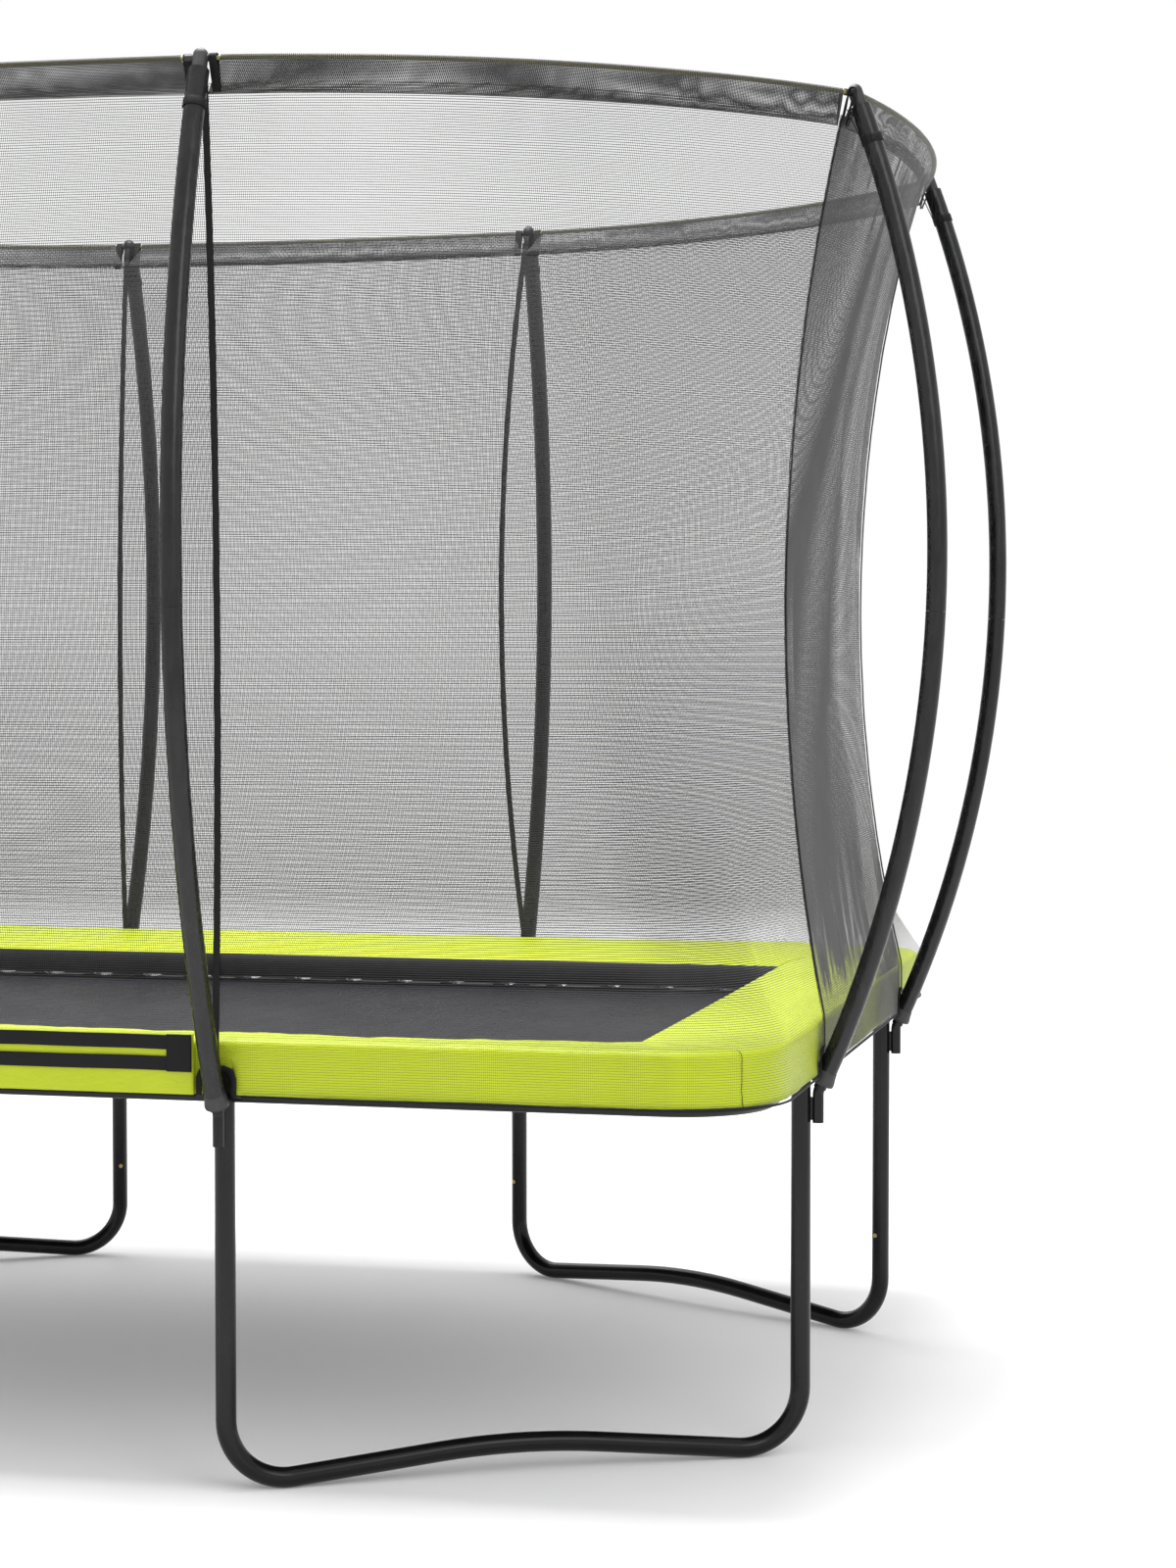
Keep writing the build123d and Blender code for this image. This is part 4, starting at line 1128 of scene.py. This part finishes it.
def spring_sites():
    """The spring rows of the four sides."""
    return {
        "front": spring_row(LONG_PITCH, 9, (0, -1, 0)),
        "back": spring_row(LONG_PITCH, 9, (0, 1, 0)),
        "left": spring_row(SHORT_PITCH, 6, (-1, 0, 0)),
        "right": spring_row(SHORT_PITCH, 6, (1, 0, 0)),
    }


def ring_loops(sites):
    """Webbing loop that holds each V ring to the mat's edge."""
    rows = []
    up = at_height(1.0)
    for side in sites.values():
        for point, inward in side:
            edge = point + inward * (SPRING_SPAN + RING_REACH)
            bar = edge - inward * 0.0024
            path = [edge + inward * reach + up * 0.0034 for reach in (0.040, 0.028, 0.016, 0.006)]
            for turn in np.radians(np.linspace(80, -80, 9)):
                path.append(bar - inward * (0.0031 * cos(turn)) + up * (0.0031 * sin(turn)))
            path += [edge + inward * reach - up * 0.0034 for reach in (0.006, 0.016, 0.028, 0.040)]
            normals = band_normals(np.array(path), np.cross(inward, up))
            rows.append(ribbon_rows(path, normals, 0.027, 0.0010))
    return webbing("v_ring_loops", rows, "mat")


def spring_path(bar, outward):
    """Wire of one coil spring: hook round the V ring's bar, coil, hook in the rail."""
    up = at_height(1.0)
    side = np.cross(outward, up)
    hook = 0.0048
    local = [(hook * cos(a), 0.0, hook * sin(a)) for a in np.radians(np.linspace(178, 20, 12))]
    local += [(0.0075, 0.0, 0.0004), (0.0140, 0.0, 0.0), (0.0185, 0.0, 0.0015)]
    coil_r, start, end = 0.0079, 0.0225, 0.1265
    turns = 27
    per_turn = 12
    for k in range(turns * per_turn + 1):
        share = k / (turns * per_turn)
        angle = 2 * pi * turns * share
        close = min(1.0, share * turns, (1 - share) * turns)
        radius = coil_r * (0.45 + 0.55 * close)
        local.append((start + (end - start) * share, radius * sin(angle), radius * cos(angle)))
    local += [(0.1310, 0.0, 0.0015), (0.1370, 0.0, 0.0), (0.1450, 0.0, 0.0)]
    local += [(0.1468, 0.0, -0.0008), (0.1475, 0.0, -0.0030), (0.1475, 0.0, -0.0085)]
    return np.array([bar + outward * x + side * y + up * z for x, y, z in local])


def springs(sites):
    """Coil springs, one piece a side, each stretching from the rail to the mat."""
    for label, side in sites.items():
        tubes = []
        for point, inward in side:
            bar = point + inward * SPRING_SPAN
            tubes.append(tube_rows(spring_path(bar, -inward), 0.0016, 6))
        piece = skins(f"springs_{label}", tubes, ZINC, None)
        middle, inward = side[len(side) // 2]
        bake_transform(piece)
        if label == "front":
            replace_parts(piece, "springs")


# ---- sleeve ends ----


def sleeve_cuffs():
    """Rolled vinyl cuff at the lower end of each pole sleeve."""
    rows = []
    for name in POSTS:
        stations = [(0.0006, 0.0188), (0.0000, 0.0204), (0.0012, 0.0222), (0.0045, 0.0229)]
        stations += [(0.0090, 0.0224), (0.0150, 0.0210), (0.0230, 0.0199), (0.0260, 0.0191)]
        turns = [2 * pi * k / 28 for k in range(28)]
        loops = [pole_ring(name, SLEEVE_FOOT_Z + rise, r, turns)[0] for rise, r in stations]
        rows.append(np.array(loops))
    return skins("sleeve_cuffs", rows, PLASTIC, "frame")


# ---- stage ----


def stage():
    """Pale floor, soft lights and the camera."""
    size = 40.0
    corners = [(-size, -size, 0), (size, -size, 0), (size, size, 0), (-size, size, 0)]
    mesh = bpy.data.meshes.new("floor")
    mesh.from_pydata(corners, [], [(0, 1, 2, 3)])
    mesh.materials.append(floor_paper())
    floor = bpy.data.objects.new("floor", mesh)
    bpy.context.scene.collection.objects.link(floor)

    world = bpy.data.worlds.new("studio")
    world.use_nodes = True
    world.node_tree.nodes["Background"].inputs["Color"].default_value = (1, 1, 1, 1)
    world.node_tree.nodes["Background"].inputs["Strength"].default_value = 1.0
    bpy.context.scene.world = world

    lights = [
        ("top", (0.0, 0.0, 6.0), 3.5, 520.0),
        ("key", (4.5, -4.5, 4.0), 2.5, 60.0),
        ("rim", (-3.0, 5.0, 5.0), 3.0, 60.0),
    ]
    for name, place, width, power in lights:
        light = bpy.data.lights.new(name, "AREA")
        light.shape = "SQUARE"
        light.size = width
        light.energy = power
        lamp = bpy.data.objects.new(name, light)
        lamp.location = place
        lamp.rotation_euler = (Vector((0, 0, 1.0)) - Vector(place)).to_track_quat("-Z", "Y").to_euler()
        bpy.context.scene.collection.objects.link(lamp)

    lens = bpy.data.cameras.new("camera")
    lens.sensor_width = 36.0
    lens.lens = CAMERA_LENS
    lens.clip_end = 200.0
    camera = bpy.data.objects.new("camera", lens)
    camera.location = CAMERA_PLACE
    camera.rotation_euler = (pi / 2 - CAMERA_TILT, 0.0, CAMERA_TURN)
    bpy.context.scene.collection.objects.link(camera)
    bpy.context.scene.camera = camera
    bpy.context.scene.view_settings.view_transform = "Standard"
    bpy.context.scene.cycles.transparent_max_bounces = 24


# ---- build ----

record_slots = {part["node"]: part["material_slot"] for part in frame["record"]["subparts"]}
for node, obj in frame["nodes"].items():
    material = SLOT_MATERIALS.get(record_slots[node])
    if material:
        obj.data.materials.clear()
        obj.data.materials.append(material)

names = list(POSTS)
neighbours = list(zip(names, names[1:] + names[:1]))

stage()
panels = net_panels(neighbours)
declare_net(panels, neighbours)
hems(neighbours)
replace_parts(panels[0][0], "net")
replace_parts(net_straps(), "net_straps")
notch_bindings_and_shade_patches()
foot_bindings(neighbours)
head_bands()
zip_tape()
zip_teeth()
pads()
entrance_flap()
mat = jumping_mat()
edge = mat_edge()
sites = spring_sites()
loops = ring_loops(sites)
springs(sites)
sleeve_cuffs()
